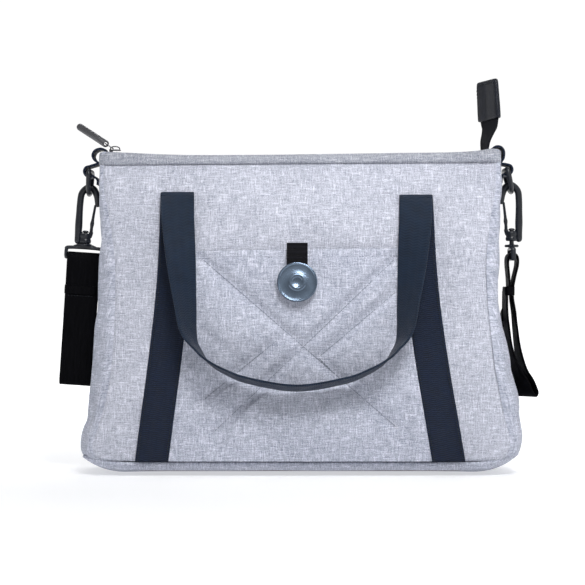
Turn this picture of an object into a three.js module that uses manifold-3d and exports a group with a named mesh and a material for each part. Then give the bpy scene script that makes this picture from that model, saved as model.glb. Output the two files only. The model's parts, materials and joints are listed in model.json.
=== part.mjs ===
// Padded tote-style carry case with a zipped top, two webbing handles, a quilted front
// pocket, a medallion on a ribbon tab, and a clip-on shoulder strap.
// Millimetres, +X right, +Y to the back, +Z up, origin at the centre of the base.
import * as THREE from 'three';
import { mergeVertices } from 'three/addons/utils/BufferGeometryUtils.js';
import Module from 'manifold-3d';

const wasm = await Module();
wasm.setup();

// ---------- driving dimensions ----------
const GAP = 0.4;                    // clearance between touching pieces
const BODY_TOP = 286;               // top edge of the case
const BAND_SEAM = 273;              // seam under the top band
const BASE_SEAM = 12;               // seam between the base and the panels
const FABRIC = 2;                   // outer fabric with its backing
const FOAM = 5;
const LINING = 1.2;
const WEB_WIDTH = 29.5;             // 30 mm webbing
const WEB = 2;                      // webbing thickness
const POCKET_TOP = 200;
const POCKET_SLACK = 7;             // how far the empty pocket stands off the panel
const HANDLE_FOLD = 249;            // where a handle leaves the sewn strip
const HANDLE_DROP = 179.5;          // from the fold to the bottom of the loop
const ZIP_LEVEL = 286;
const ZIP_LEFT = -166;              // the slider's place when the case is shut
const RING_WIRE = 2.3;              // radius of a D-ring's wire
const RING_DROP = 20;               // from its straight bar to its lowest point
const HOOK_WIRE = 3;                // radius of a snap hook's arm
const BASE_BAR = 24;                // from a hook's collar down to its strap bar

// A smooth function of height through a few [height, value] points.
function profile(points) {
  const slope = (i) => {
    const a = points[Math.max(i - 1, 0)];
    const b = points[Math.min(i + 1, points.length - 1)];
    return (b[1] - a[1]) / (b[0] - a[0]);
  };
  return (z) => {
    const last = points.length - 1;
    const at = THREE.MathUtils.clamp(z, points[0][0], points[last][0]);
    let i = 0;
    while (i < last - 1 && at > points[i + 1][0]) i += 1;
    const [z0, v0] = points[i];
    const [z1, v1] = points[i + 1];
    const h = z1 - z0;
    const t = (at - z0) / h;
    const rise = (v1 - v0) * (3 - 2 * t) * t * t;
    return v0 + rise + h * slope(i) * t * (1 - t) ** 2 - h * slope(i + 1) * t * t * (1 - t);
  };
}

const seamHalfWidth = profile([[12, 173], [17, 182], [26, 185], [64, 175], [105, 168.5],
  [180, 165], [228, 171], [252, 176], [286, 177.5]]);
const sideHalfWidth = profile([[4, 184], [12, 193], [22, 197], [54, 193], [105, 186.5],
  [150, 181.5], [200, 179.5], [286, 178.5]]);
const seamHalfDepth = profile([[12, 59], [40, 60], [120, 55], [190, 45], [240, 34],
  [273, 23], [286, 17.5]]);
const panelCrown = profile([[12, 4], [60, 9], [130, 10], [200, 8], [250, 5], [286, 1]]);
const gussetCrease = profile([[30, 0], [76, 6.5], [150, 7], [220, 6.5], [256, 0]]);
const stripCentre = profile([[12, 129.5], [48, 124], [83, 118.6], [118, 113.8], [153, 109.8],
  [189, 107.2], [249, 105.3]]);

// How far the outer face of the front or back panel stands from the middle plane.
function faceDepth(x, z) {
  const across = THREE.MathUtils.clamp(Math.abs(x) / seamHalfWidth(z), 0, 1);
  return seamHalfDepth(z) + panelCrown(z) * (1 - across ** 2.6);
}

// How far the outer face of a side gusset stands from the middle plane.
function sideReach(y, z) {
  const across = THREE.MathUtils.clamp(Math.abs(y) / seamHalfDepth(z), 0, 1);
  const bulge = Math.max(sideHalfWidth(z) - seamHalfWidth(z), 0) * (1 - across ** 3);
  const dip = Math.max(1 - (y / 34) ** 2, 0) ** 2;
  return seamHalfWidth(z) + bulge - gussetCrease(z) * dip;
}

// ---------- mesh helpers ----------
function v3(x, y, z) {
  return new THREE.Vector3(x, y, z);
}

function signedVolume(position, index) {
  let sum = 0;
  const [a, b, c] = [new THREE.Vector3(), new THREE.Vector3(), new THREE.Vector3()];
  for (let i = 0; i < index.length; i += 3) {
    a.fromArray(position, index[i] * 3);
    b.fromArray(position, index[i + 1] * 3);
    c.fromArray(position, index[i + 2] * 3);
    sum += a.dot(b.cross(c));
  }
  return sum;
}

function geometryFrom(points, index) {
  const position = points.flatMap((p) => [p.x, p.y, p.z]);
  const faces = signedVolume(position, index) < 0 ? index.slice().reverse() : index;
  const geometry = new THREE.BufferGeometry();
  geometry.setAttribute('position', new THREE.Float32BufferAttribute(position, 3));
  geometry.setIndex(faces);
  return geometry;
}

// A closed body through a row of outlines with equally many points each.
function loft(rings, closed = false) {
  const n = rings[0].length;
  const points = rings.flat();
  const index = [];
  const spans = closed ? rings.length : rings.length - 1;
  for (let r = 0; r < spans; r += 1) {
    const below = r * n;
    const above = ((r + 1) % rings.length) * n;
    for (let k = 0; k < n; k += 1) {
      const next = (k + 1) % n;
      index.push(below + k, below + next, above + next, below + k, above + next, above + k);
    }
  }
  if (!closed) {
    for (const [ring, start, flip] of [[rings[0], 0, true], [rings.at(-1), points.length - n, false]]) {
      const middle = ring.reduce((sum, p) => sum.add(p), v3(0, 0, 0)).divideScalar(n);
      const hub = points.push(middle) - 1;
      for (let k = 0; k < n; k += 1) {
        const a = start + k;
        const b = start + ((k + 1) % n);
        index.push(...(flip ? [hub, b, a] : [hub, a, b]));
      }
    }
  }
  return geometryFrom(points, index);
}

// A closed body between two faces over the same grid; each face maps (u, v) in 0..1.
function slab(outer, inner, across, up) {
  const points = [];
  const index = [];
  const row = across + 1;
  const layer = row * (up + 1);
  for (const face of [outer, inner]) {
    for (let j = 0; j <= up; j += 1) {
      for (let i = 0; i <= across; i += 1) points.push(face(i / across, j / up));
    }
  }
  for (let j = 0; j < up; j += 1) {
    for (let i = 0; i < across; i += 1) {
      const a = j * row + i;
      const [b, c, d] = [a + 1, a + row + 1, a + row];
      index.push(a, b, c, a, c, d);
      index.push(layer + a, layer + c, layer + b, layer + a, layer + d, layer + c);
    }
  }
  const rim = [];
  for (let i = 0; i < across; i += 1) rim.push([i, i + 1]);
  for (let j = 0; j < up; j += 1) rim.push([j * row + across, (j + 1) * row + across]);
  for (let i = across; i > 0; i -= 1) rim.push([up * row + i, up * row + i - 1]);
  for (let j = up; j > 0; j -= 1) rim.push([j * row, (j - 1) * row]);
  for (const [a, b] of rim) index.push(b, a, layer + a, b, layer + a, layer + b);
  return geometryFrom(points, index);
}

// A flat band along a path; widthAt(t) gives the direction of its width.
function band(path, widthAt, width, thickness, steps) {
  const rings = [];
  for (let s = 0; s <= steps; s += 1) {
    const t = s / steps;
    const at = path.getPoint(t);
    const along = path.getTangent(t);
    const side = widthAt(t).clone();
    side.addScaledVector(along, -side.dot(along)).normalize();
    const out = side.clone().cross(along);
    const corners = [[-1, -1], [1, -1], [1, 1], [-1, 1]];
    rings.push(corners.map(([a, b]) => at.clone()
      .addScaledVector(side, a * width / 2)
      .addScaledVector(out, b * thickness / 2)));
  }
  return loft(rings);
}

// A round bar along a path in the XZ plane, with a radius for each place on it.
function bar(path, radiusAt, steps, sides, closed = false) {
  const rings = [];
  for (let s = 0; s < (closed ? steps : steps + 1); s += 1) {
    const t = s / steps;
    const at = path.getPoint(t);
    const out = path.getTangent(t).cross(v3(0, 1, 0)).normalize();
    rings.push(Array.from({ length: sides }, (_, k) => {
      const turn = (k / sides) * Math.PI * 2;
      return at.clone()
        .addScaledVector(out, Math.cos(turn) * radiusAt(t))
        .addScaledVector(v3(0, 1, 0), Math.sin(turn) * radiusAt(t));
    }));
  }
  return loft(rings, closed);
}

function smooth(points, closed = false) {
  return new THREE.CatmullRomCurve3(points.map((p) => v3(...p)), closed, 'catmullrom', 0.5);
}

function solid(geometry) {
  const bare = geometry.clone();
  bare.deleteAttribute('normal');
  bare.deleteAttribute('uv');
  const merged = mergeVertices(bare, 1e-4);
  return new wasm.Manifold(new wasm.Mesh({
    numProp: 3,
    vertProperties: new Float32Array(merged.attributes.position.array),
    triVerts: new Uint32Array(merged.index.array),
  }));
}

function geometryOf(body) {
  const mesh = body.getMesh();
  const geometry = new THREE.BufferGeometry();
  geometry.setAttribute('position', new THREE.BufferAttribute(mesh.vertProperties, 3));
  geometry.setIndex(new THREE.BufferAttribute(mesh.triVerts, 1));
  return geometry;
}

function joined(...geometries) {
  return geometryOf(geometries.map(solid).reduce((sum, next) => sum.add(next)));
}

// The piece itself for side 1, or its mirror image across X for side -1.
function handed(geometry, side) {
  if (side > 0) return geometry;
  const mirror = geometry.clone().scale(-1, 1, 1);
  mirror.setIndex(Array.from(geometry.index.array).reverse());
  return mirror;
}

function box(x0, x1, y0, y1, z0, z1) {
  const geometry = new THREE.BoxGeometry(x1 - x0, y1 - y0, z1 - z0);
  return geometry.translate((x0 + x1) / 2, (y0 + y1) / 2, (z0 + z1) / 2);
}

// A turned piece about the Z axis from [radius, height] points.
function turned(outline, sides = 16) {
  const lathe = new THREE.LatheGeometry(outline.map(([r, z]) => new THREE.Vector2(r, z)), sides);
  return lathe.rotateX(Math.PI / 2);
}

function roundHole(x, y, radius, sides = 16) {
  return new THREE.Path(Array.from({ length: sides }, (_, k) => {
    const turn = (k / sides) * Math.PI * 2;
    return new THREE.Vector2(x + Math.cos(turn) * radius, y + Math.sin(turn) * radius);
  }));
}

// A plate in the XZ plane from a shape drawn in x and z, thick along Y.
function plate(shape, thickness, bevel = 0.6) {
  const geometry = new THREE.ExtrudeGeometry(shape, {
    depth: thickness - 2 * bevel,
    bevelEnabled: bevel > 0,
    bevelThickness: bevel,
    bevelSize: bevel,
    bevelOffset: -bevel,
    bevelSegments: 1,
    curveSegments: 4,
  });
  geometry.translate(0, 0, -thickness / 2 + bevel);
  return geometry.rotateX(Math.PI / 2);
}

function roundedOutline(halfX, halfY, radius, z, perCorner = 3) {
  const ring = [];
  for (let corner = 0; corner < 4; corner += 1) {
    const sx = corner === 0 || corner === 3 ? 1 : -1;
    const sy = corner < 2 ? 1 : -1;
    for (let k = 0; k <= perCorner; k += 1) {
      const turn = (corner + k / perCorner) * Math.PI / 2;
      ring.push(v3(sx * (halfX - radius) + Math.cos(turn) * radius,
        sy * (halfY - radius) + Math.sin(turn) * radius, z));
    }
  }
  return ring;
}

// ---------- materials ----------
function material(color, roughness, metalness = 0) {
  return new THREE.MeshStandardMaterial({ color, roughness, metalness });
}

const heather = material(0xa9aec0, 0.95);
const heatherLight = material(0xc0c4d2, 0.95);
const webbing = material(0x1b2130, 0.8);
const liningCloth = material(0x4a4d55, 0.85);
const foamGrey = material(0x5c5f66, 1);
const board = material(0x8d8a80, 0.9);
const zipCloth = material(0x15171d, 0.85);
const nylon = material(0x111318, 0.5);
const blackPlastic = material(0x12161d, 0.4);
const gunmetal = material(0x6e6e72, 0.3, 1);
const chrome = material(0xaab4bf, 0.12, 1);
const leather = material(0x17171a, 0.35);

const carryCase = new THREE.Group();

function add(name, geometry, finish, parent = carryCase) {
  const mesh = new THREE.Mesh(geometry, finish);
  mesh.name = name;
  parent.add(mesh);
  return mesh;
}

// ---------- padded body ----------
// side is -1 at the front and 1 at the back; depth is how far inside the outer face.
function bodyLayer(side, low, high, inset, depth, thickness, across, up) {
  const face = (d) => (u, v) => {
    const z = THREE.MathUtils.lerp(low, high, v);
    const x = (2 * u - 1) * (seamHalfWidth(z) - inset);
    return v3(x, side * (faceDepth(x, z) - d), z);
  };
  return slab(face(depth), face(depth + thickness), across, up);
}

for (const [side, place] of [[-1, 'front'], [1, 'back']]) {
  const finish = side < 0 ? heatherLight : heather;
  add(`${place}_panel`, bodyLayer(side, BASE_SEAM + GAP, BAND_SEAM, 0, 0, FABRIC, 10, 10), finish);
  add(`${place}_foam`, bodyLayer(side, BASE_SEAM + 8, BAND_SEAM - 8, 7, FABRIC + 3 * GAP, FOAM, 8, 8),
    foamGrey);
  add(`${place}_band`, bodyLayer(side, BAND_SEAM + GAP, BODY_TOP, 0, 0, FABRIC, 10, 1), finish);
}

function gusset(side) {
  const face = (d) => (u, v) => {
    const z = THREE.MathUtils.lerp(BASE_SEAM + GAP, BODY_TOP - 1, v);
    const y = (2 * u - 1) * (seamHalfDepth(z) - FABRIC - GAP);
    return v3(side * (sideReach(y, z) - d), y, z);
  };
  return slab(face(0), face(FABRIC), 6, 12);
}
add('gusset_left', gusset(-1), heather);
add('gusset_right', gusset(1), heather);

// The base is a shallow tray whose rim turns up to meet the panels and the gussets.
function basePanel() {
  const rimX = sideReach(0, BASE_SEAM);
  const rimY = seamHalfDepth(BASE_SEAM);
  const rise = [[14, 0], [6, 2], [1.5, 6.5], [0, BASE_SEAM]];
  const outside = rise.map(([inset, z]) => roundedOutline(rimX - inset, rimY - inset, 22, z));
  const inside = rise.map(([inset, z]) => roundedOutline(rimX - inset - FABRIC, rimY - inset - FABRIC,
    20, Math.max(z, FABRIC + z * (1 - FABRIC / BASE_SEAM))));
  return loft([...outside, ...inside.reverse()]);
}
add('base_panel', basePanel(), heather);

const boardTop = FABRIC + GAP + 3;
add('base_board', loft([roundedOutline(172, 43, 18, FABRIC + GAP), roundedOutline(172, 43, 18, boardTop)]),
  board);

// The lining is one loose sack, open at the top.
function lining() {
  const levels = [boardTop + GAP, 20, 70, 130, 190, 235, 262];
  const ring = (z, inset) => roundedOutline(seamHalfWidth(z) - 11 - inset,
    seamHalfDepth(z) - FABRIC - FOAM - 6 * GAP - inset, 12 - inset, z);
  const floorRing = (z, inset) => roundedOutline(168 - inset, 42 - inset, 12 - inset, z);
  const outside = [floorRing(levels[0], 0), ...levels.slice(1).map((z) => ring(z, 0))];
  const inside = [floorRing(levels[0] + LINING, LINING), ...levels.slice(1).map((z) => ring(z, LINING))];
  return loft([...outside, ...inside.reverse()]);
}
add('lining', lining(), liningCloth);

// ---------- front pocket and webbing strips ----------
const POCKET = 2.5;                 // quilted cloth of the pocket
const pocketSide = (z) => stripCentre(z) - WEB_WIDTH / 2 - GAP;
const stripShift = profile([[12, 0.4], [120, -1.6], [249, -2.6]]);   // how far left all of it is sewn

// How far the pocket's outer face stands from the middle plane: it bows off the panel.
function pocketDepth(x, z) {
  const across = THREE.MathUtils.clamp(1 - Math.abs(x) / pocketSide(z), 0, 1);
  const up = THREE.MathUtils.clamp((z - BASE_SEAM - 1) / (POCKET_TOP - BASE_SEAM - 1), 0, 1);
  const slack = POCKET_SLACK * Math.sin(Math.PI / 2 * across) ** 0.6 * Math.sin(up * Math.PI / 2) ** 0.8;
  return faceDepth(x, z) + GAP + slack + POCKET;
}

function pocket() {
  const face = (d) => (u, v) => {
    const z = THREE.MathUtils.lerp(BASE_SEAM + 1, POCKET_TOP, v);
    const x = (2 * u - 1) * pocketSide(z);
    return v3(x + stripShift(z), d - pocketDepth(x, z), z);
  };
  return slab(face(0), face(POCKET), 10, 8);
}
add('front_pocket', pocket(), heather);

function strip(side, sign) {
  const face = (d) => (u, v) => {
    const z = THREE.MathUtils.lerp(BASE_SEAM + 1, HANDLE_FOLD, v);
    const x = sign * stripCentre(z) + stripShift(z) + (u - 0.5) * WEB_WIDTH;
    return v3(x, side * (faceDepth(x, z) + GAP + d), z);
  };
  return slab(face(WEB), face(0), 2, 10);
}
for (const [side, place] of [[-1, 'front'], [1, 'back']]) {
  add(`webbing_${place}_left`, strip(side, -1), webbing);
  add(`webbing_${place}_right`, strip(side, 1), webbing);
}

// ---------- handles ----------
// A handle hangs from the tops of its two strips in front of the panel. Its webbing lies flat
// there and turns edge-on towards the bottom of the loop. side is -1 front, 1 back.
const foldHalf = stripCentre(HANDLE_FOLD);
const foldDepth = faceDepth(foldHalf, HANDLE_FOLD) + GAP + WEB + 2 * GAP;
const hangSlope = Math.atan2(faceDepth(100, 150) + WEB + 3 - foldDepth, HANDLE_FOLD - 150);
const EDGE_ON_LEAN = -0.05;         // how far the edge-on webbing tips out of square

function handle(side) {
  // [how far in from the leg's top, how far down, how far off the hanging line, degrees turned]
  const leg = [[0, 0.6, 1.2, 0], [1, 25, 7, 14], [3.5, 55, 11.5, 27], [6, 82, 13.5, 40],
    [8.5, 104, 14.5, 51], [12, 132, 15, 64], [20.5, 147, 14, 76], [29, 156.5, 13, 82],
    [43, 165, 12.5, 86], [64, 173, 12, 89]];
  const place = (sign) => ([inward, down, off]) => [
    sign * (foldHalf - inward) + stripShift(HANDLE_FOLD),
    side * (foldDepth + down * Math.sin(hangSlope) + off * Math.cos(hangSlope)),
    HANDLE_FOLD - down * Math.cos(hangSlope) + off * Math.sin(hangSlope),
  ];
  const bottom = place(1)([foldHalf, HANDLE_DROP, 12]);
  const path = smooth([...leg.map(place(-1)), bottom, ...leg.map(place(1)).reverse()]);
  const outward = v3(0, side * Math.cos(hangSlope), Math.sin(hangSlope));
  const turnAt = profile([...leg.map((row, i) => [i, row[3]]), [leg.length, 90]]);
  const widthAt = (t) => {
    const angle = THREE.MathUtils.degToRad(turnAt(Math.min(t, 1 - t) * 2 * leg.length));
    const inward = t < 0.5 ? 1 : -1;
    const across = v3(inward * Math.cos(angle), 0, -EDGE_ON_LEAN * Math.sin(angle));
    return across.addScaledVector(outward, -Math.sin(angle));
  };
  return band(path, widthAt, WEB_WIDTH, WEB, 40);
}
add('handle_front', handle(-1), webbing);
add('handle_back', handle(1), webbing);

// ---------- medallion on its ribbon tab ----------
// Both are drawn about the top of the ribbon and lie along the slope of the pocket.
const MEDAL_RADIUS = 17.5;
const CHARM_TOP = v3(-2.2, -(pocketDepth(0, 200) + 3.6), 202);
const RIBBON_LENGTH = 21;
const MEDAL_DROP = 34.5;            // from the ribbon's top to the medallion's centre
const MEDAL_ROD = 1.2;
const charmSlope = Math.atan2(pocketDepth(0, 150) - pocketDepth(0, 202), 52);
const rodDrop = -RIBBON_LENGTH;

function ribbon() {
  const eye = MEDAL_ROD + 0.6;
  const thick = 1.1;
  const outer = eye + thick;
  const neck = Math.asin(thick / outer);
  const outline = new THREE.Shape();
  outline.absarc(0, 0, outer, Math.PI * 0.5 + neck, Math.PI * 2.5 - neck, false);
  outline.lineTo(thick, RIBBON_LENGTH);
  outline.lineTo(-thick, RIBBON_LENGTH);
  outline.closePath();
  outline.holes.push(roundHole(0, 0, eye));
  const width = 18.5;
  const options = { depth: width, bevelEnabled: false, curveSegments: 8 };
  const geometry = new THREE.ExtrudeGeometry(outline, options);
  geometry.rotateX(Math.PI / 2).rotateZ(-Math.PI / 2);
  return geometry.translate(width / 2, 0, rodDrop);
}

function medallion() {
  const back = -(MEDAL_ROD + 2.2);
  const disc = turned([[0, 0], [MEDAL_RADIUS - 1, 0], [MEDAL_RADIUS, 0.8], [MEDAL_RADIUS, 2.4],
    [MEDAL_RADIUS - 1.2, 3.4], [MEDAL_RADIUS - 2.6, 3.4], [MEDAL_RADIUS - 3.6, 2.4], [0, 2.4]], 30);
  disc.rotateX(Math.PI / 2).translate(0, back, -MEDAL_DROP);
  const lug = (x) => box(x - 0.8, x + 0.8, back - 0.5, 1.4, rodDrop - 1.6, rodDrop + 1.6);
  const rod = new THREE.CylinderGeometry(MEDAL_ROD, MEDAL_ROD, 21.6, 10).rotateZ(Math.PI / 2);
  rod.translate(0, 0, rodDrop);
  return joined(disc, lug(-10.6), lug(10.6), rod);
}

const charm = new THREE.Group();
charm.position.copy(CHARM_TOP);
charm.rotation.x = -charmSlope;
carryCase.add(charm);
add('charm_ribbon', ribbon(), zipCloth, charm);
add('charm_medallion', medallion(), chrome, charm);

// ---------- zip ----------
const zipEnd = 172;
for (const [side, place] of [[-1, 'front'], [1, 'back']]) {
  const [inner, outer] = [3.9, seamHalfDepth(BODY_TOP) - FABRIC - GAP];
  const [near, far] = side < 0 ? [-outer, -inner] : [inner, outer];
  add(`zip_tape_${place}`, box(-zipEnd, zipEnd, near, far, ZIP_LEVEL - 1.2, ZIP_LEVEL - 0.4), zipCloth);
  const coil = new THREE.CylinderGeometry(1.1, 1.1, 2 * zipEnd - 12, 8).rotateZ(Math.PI / 2);
  add(`zip_coil_${place}`, coil.translate(0, side * 2.5, ZIP_LEVEL), nylon);
}

function zipSlider() {
  const top = ZIP_LEVEL + 1.5;
  const bottom = ZIP_LEVEL - 1.6;
  const half = 5;
  const upper = box(ZIP_LEFT - half, ZIP_LEFT + half, -5.2, 5.2, top, top + 1);
  const lower = box(ZIP_LEFT - half, ZIP_LEFT + half, -5.2, 5.2, bottom - 1.2, bottom);
  const divider = box(ZIP_LEFT - half, ZIP_LEFT - half + 3, -0.9, 0.9, bottom - 0.5, top + 0.5);
  const arch = bar(smooth([[-4.2, 0, 0], [-3.6, 0, 2.4], [0, 0, 3.3], [3.6, 0, 2.4], [4.2, 0, 0]]),
    () => 0.6, 12, 8);
  return joined(upper, lower, divider, arch.translate(ZIP_LEFT, 0, top + 0.6));
}
add('zip_slider', zipSlider(), gunmetal);

// The link is a wire loop through the slider's arch; the pull bar hangs on it.
const pullPivot = v3(ZIP_LEFT - 2.2, 0, ZIP_LEVEL + 3.8);
const pullAngle = THREE.MathUtils.degToRad(33);

function pullGroup() {
  const group = new THREE.Group();
  group.position.copy(pullPivot);
  group.rotation.y = pullAngle;
  carryCase.add(group);
  return group;
}

function zipLink() {
  const loop = smooth([[0, 0, 2.6], [-3.2, 0, 2.8], [-6.8, 0, 2.2], [-7.9, 0, 0], [-6.8, 0, -2.2],
    [-3.2, 0, -2.8], [0, 0, -2.6], [0.6, 0, 0]], true);
  return bar(loop, () => 0.5, 20, 6, true).rotateX(Math.PI / 2);
}

function zipPull() {
  const shape = new THREE.Shape();
  const [near, far, half] = [-4.4, -38, 3.2];
  shape.absarc(near - half, 0, half, Math.PI / 2, -Math.PI / 2, true);
  shape.absarc(far + half, 0, half, -Math.PI / 2, Math.PI / 2, true);
  shape.closePath();
  shape.holes.push(roundHole(near - half + 0.2, 0, 1.5));
  return plate(shape, 2.6, 0.5);
}
const pull = pullGroup();
add('zip_link', zipLink(), gunmetal, pull);
add('zip_pull', zipPull(), gunmetal, pull);

// The zip's free end stands up at the right, folded into a leather tab.
const TAIL_X = 166.5;
const TAIL_FOOT = 287.5;
const TAIL_TAPE_TOP = 313;
const TAB_TOP = 350;
const tailTwist = (t) => THREE.MathUtils.degToRad(THREE.MathUtils.lerp(8, 34, t));

function tailTape() {
  const path = smooth([[TAIL_X, 0, TAIL_FOOT], [TAIL_X + 0.8, 0, 296], [TAIL_X + 3.2, 0, 304],
    [TAIL_X + 4.4, 0, 309], [TAIL_X + 4.4, 0, TAIL_TAPE_TOP]]);
  return band(path, (t) => v3(Math.sin(tailTwist(t)), -Math.cos(tailTwist(t)), 0), 26, 1.6, 8);
}

function tailTab() {
  const shape = new THREE.Shape();
  const [half, height, round] = [15, TAB_TOP - TAIL_TAPE_TOP - GAP, 3];
  shape.moveTo(-half, 0);
  shape.lineTo(half, 0);
  shape.lineTo(half, height - round);
  shape.absarc(half - round, height - round, round, 0, Math.PI / 2, false);
  shape.absarc(round - half, height - round, round, Math.PI / 2, Math.PI, false);
  shape.closePath();
  return plate(shape, 5, 1.2);
}
add('zip_tail_tape', tailTape(), zipCloth);
const tab = add('zip_tail_tab', tailTab(), leather);
tab.position.set(TAIL_X + 4.4, 0, TAIL_TAPE_TOP + 5 * GAP);
tab.rotation.set(0, THREE.MathUtils.degToRad(-5), tailTwist(1) - Math.PI / 2, 'ZYX');

// ---------- side tabs and D-rings ----------
// hang is how far the strap's frame hangs down on its pin; corner is the tab's path over the
// top corner.
const sideSets = [
  { place: 'left', sign: -1, bar: v3(-188, 0, 268.3), lean: 3.4, collar: v3(-192.6, 0, 213.2), tilt: 3.8,
    baseTurn: 0, hang: 0,
    corner: [[173.6, 287.4], [178, 288.7], [183, 287], [185.2, 282.6], [183.4, 278.4]] },
  { place: 'right', sign: 1, bar: v3(185.6, 0, 269.9), lean: -13.9, collar: v3(190.9, 0, 215.3), tilt: 0,
    baseTurn: 90, hang: 3,
    corner: [[171.5, 287.6], [175.5, 290.6], [180, 290.2], [182.8, 286.4], [182.6, 280.4]] },
];

// The tab's webbing arches over the top corner, is sewn to the side, and then loops round
// the straight bar of the D-ring.
function sideTab({ sign, bar: at, corner }) {
  const [barX, barZ] = [Math.abs(at.x), at.z];
  const sewnX = sideReach(0, 276) + 1.6;
  const points = [...corner, [sewnX, 275.8], [barX - 1.2, barZ + 5], [barX + 3.2, barZ + 3.6],
    [barX + 4.8, barZ], [barX + 3.2, barZ - 3.6], [barX, barZ - 4.8], [barX - 3.2, barZ - 4.2],
    [sewnX + 0.7, barZ - 7.5], [sewnX + 0.4, barZ - 12]];
  return band(smooth(points.map(([x, z]) => [sign * x, 0, z])), () => v3(0, 1, 0), WEB_WIDTH, 1.8, 34);
}

function dRing() {
  const half = 18.4;
  const points = [[-15.5, 0], [0, 0], [15.5, 0], [half, -2.4], [half - 0.6, -7], [14.5, -13.5],
    [8, -18.6], [0, -RING_DROP], [-8, -18.6], [-14.5, -13.5], [0.6 - half, -7], [-half, -2.4]];
  const path = smooth(points.map(([y, z]) => [y, 0, z]), true);
  return bar(path, () => RING_WIRE, 30, 8, true).rotateZ(Math.PI / 2);
}

// ---------- snap hooks ----------
// Each is drawn about its collar's top, with its nose towards +X.
function hookBody(sign) {
  const arm = smooth([[-6.5, 0, -7], [-6.5, 0, 4], [-6.6, 0, 16], [-6.5, 0, 28], [-5.3, 0, 36.2],
    [0, 0, 41.4], [5.2, 0, 39.6], [8.2, 0, 33.4], [9.2, 0, 26.4]]);
  const arch = bar(arm, (t) => HOOK_WIRE - 0.7 * THREE.MathUtils.smoothstep(t, 0.75, 1), 20, 8);
  const collar = turned([[2.4, -9], [5, -9], [5.4, -8], [5.4, -1], [4.8, 0], [2.4, 0], [2.4, -9]], 16);
  return handed(joined(arch, collar), sign);
}

function hookGate(sign) {
  const path = smooth([[5, 0, 0.5], [5.2, 0, 6], [6, 0, 15], [7.2, 0, 25.2]]);
  return handed(bar(path, (t) => 1.5 - 0.4 * t, 8, 8), sign);
}

function hookBase(hang) {
  const head = hang + 0.5;
  const pin = turned([[0, -12], [2, -12], [2, head], [2.9, head], [2.9, head + 1.3], [2.2, head + 2.1],
    [0, head + 2.1]], 14);
  const flange = turned([[0, -11.4], [6.3, -11.4], [6.3, -9.4], [0, -9.4]], 16);
  const frame = new THREE.Shape();
  const foot = -BASE_BAR;
  frame.moveTo(-6, -11);
  frame.lineTo(-19, -15.6);
  frame.lineTo(-19, foot + 1.5);
  frame.lineTo(-17.5, foot);
  frame.lineTo(17.5, foot);
  frame.lineTo(19, foot + 1.5);
  frame.lineTo(19, -15.6);
  frame.lineTo(6, -11);
  frame.closePath();
  const slot = new THREE.Path();
  slot.moveTo(-15.4, -16.2);
  slot.lineTo(15.4, -16.2);
  slot.lineTo(15.4, foot + 4.2);
  slot.lineTo(-15.4, foot + 4.2);
  slot.closePath();
  frame.holes.push(slot);
  return joined(pin, flange, plate(frame, 5.4, 0.7));
}

// ---------- shoulder strap ----------
// A drop is the stretch below one hook: round the strap bar, down, and folded back up.
// Heights are below the collar; n is the offset through the layers, towards the outside if < 0.
const loopAround = [[0.4, -54], [0.7, -47], [2.4, -37], [4.3, -28], [4.3, -21.6], [2.7, -18.4],
  [0, -17.9], [-2.7, -18.4], [-4.3, -21.6], [-4.3, -28], [-3.2, -38]];

function strapDrop({ length, spread, shift, twist }) {
  const bottom = -length;
  const apart = (z) => spread * THREE.MathUtils.smoothstep(-z, 56, 72);
  const heights = [-50, -58, -70, -84, -104, bottom + 14, bottom + 4];
  const down = heights.map((z) => [-2.2 - apart(z), z]);
  const up = heights.map((z) => [3 + apart(z), Math.min(z, -48.5)]).reverse();
  const points = [...loopAround, ...down, [0.4, bottom], ...up].map(([n, z]) => {
    const angle = THREE.MathUtils.degToRad(twist(z));
    return [n * Math.sin(-angle), n * Math.cos(angle) - shift(z), z];
  });
  const path = smooth(points);
  const widthAt = (t) => {
    const angle = THREE.MathUtils.degToRad(twist(path.getPoint(t).z));
    return v3(Math.cos(angle), Math.sin(angle), 0);
  };
  return band(path, widthAt, WEB_WIDTH, WEB, 50);
}

function strapKeeper(shift) {
  const [halfX, front, back, z, height, wall] = [WEB_WIDTH / 2 + GAP, -3.8, 4.6, -51, 8, 1.2];
  const ring = (grow, level) => [[-1, front], [1, front], [1, back], [-1, back]].map(([side, y]) => v3(
    side * (halfX + grow), y + Math.sign(y) * grow - shift(level), level));
  const lower = z - height / 2;
  const upper = z + height / 2;
  return loft([ring(wall, lower), ring(wall, upper), ring(0, upper), ring(0, lower)], true);
}

const straight = () => 0;
const rightShift = profile([[-144, 11.2], [-134, 9.4], [-119, 5.6], [-101, 2], [-74, -1],
  [-50, -2.4], [-28, 0], [-18, 0]]);
const rightTwist = profile([[-144, 46], [-131, 29], [-122, 13], [-104, 5], [-82, 2], [-57, 0], [-18, 0]]);
const drops = {
  left: { length: 136, spread: 0, shift: straight, twist: straight },
  right: { length: 145, spread: 1, shift: rightShift, twist: rightTwist },
};

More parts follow.
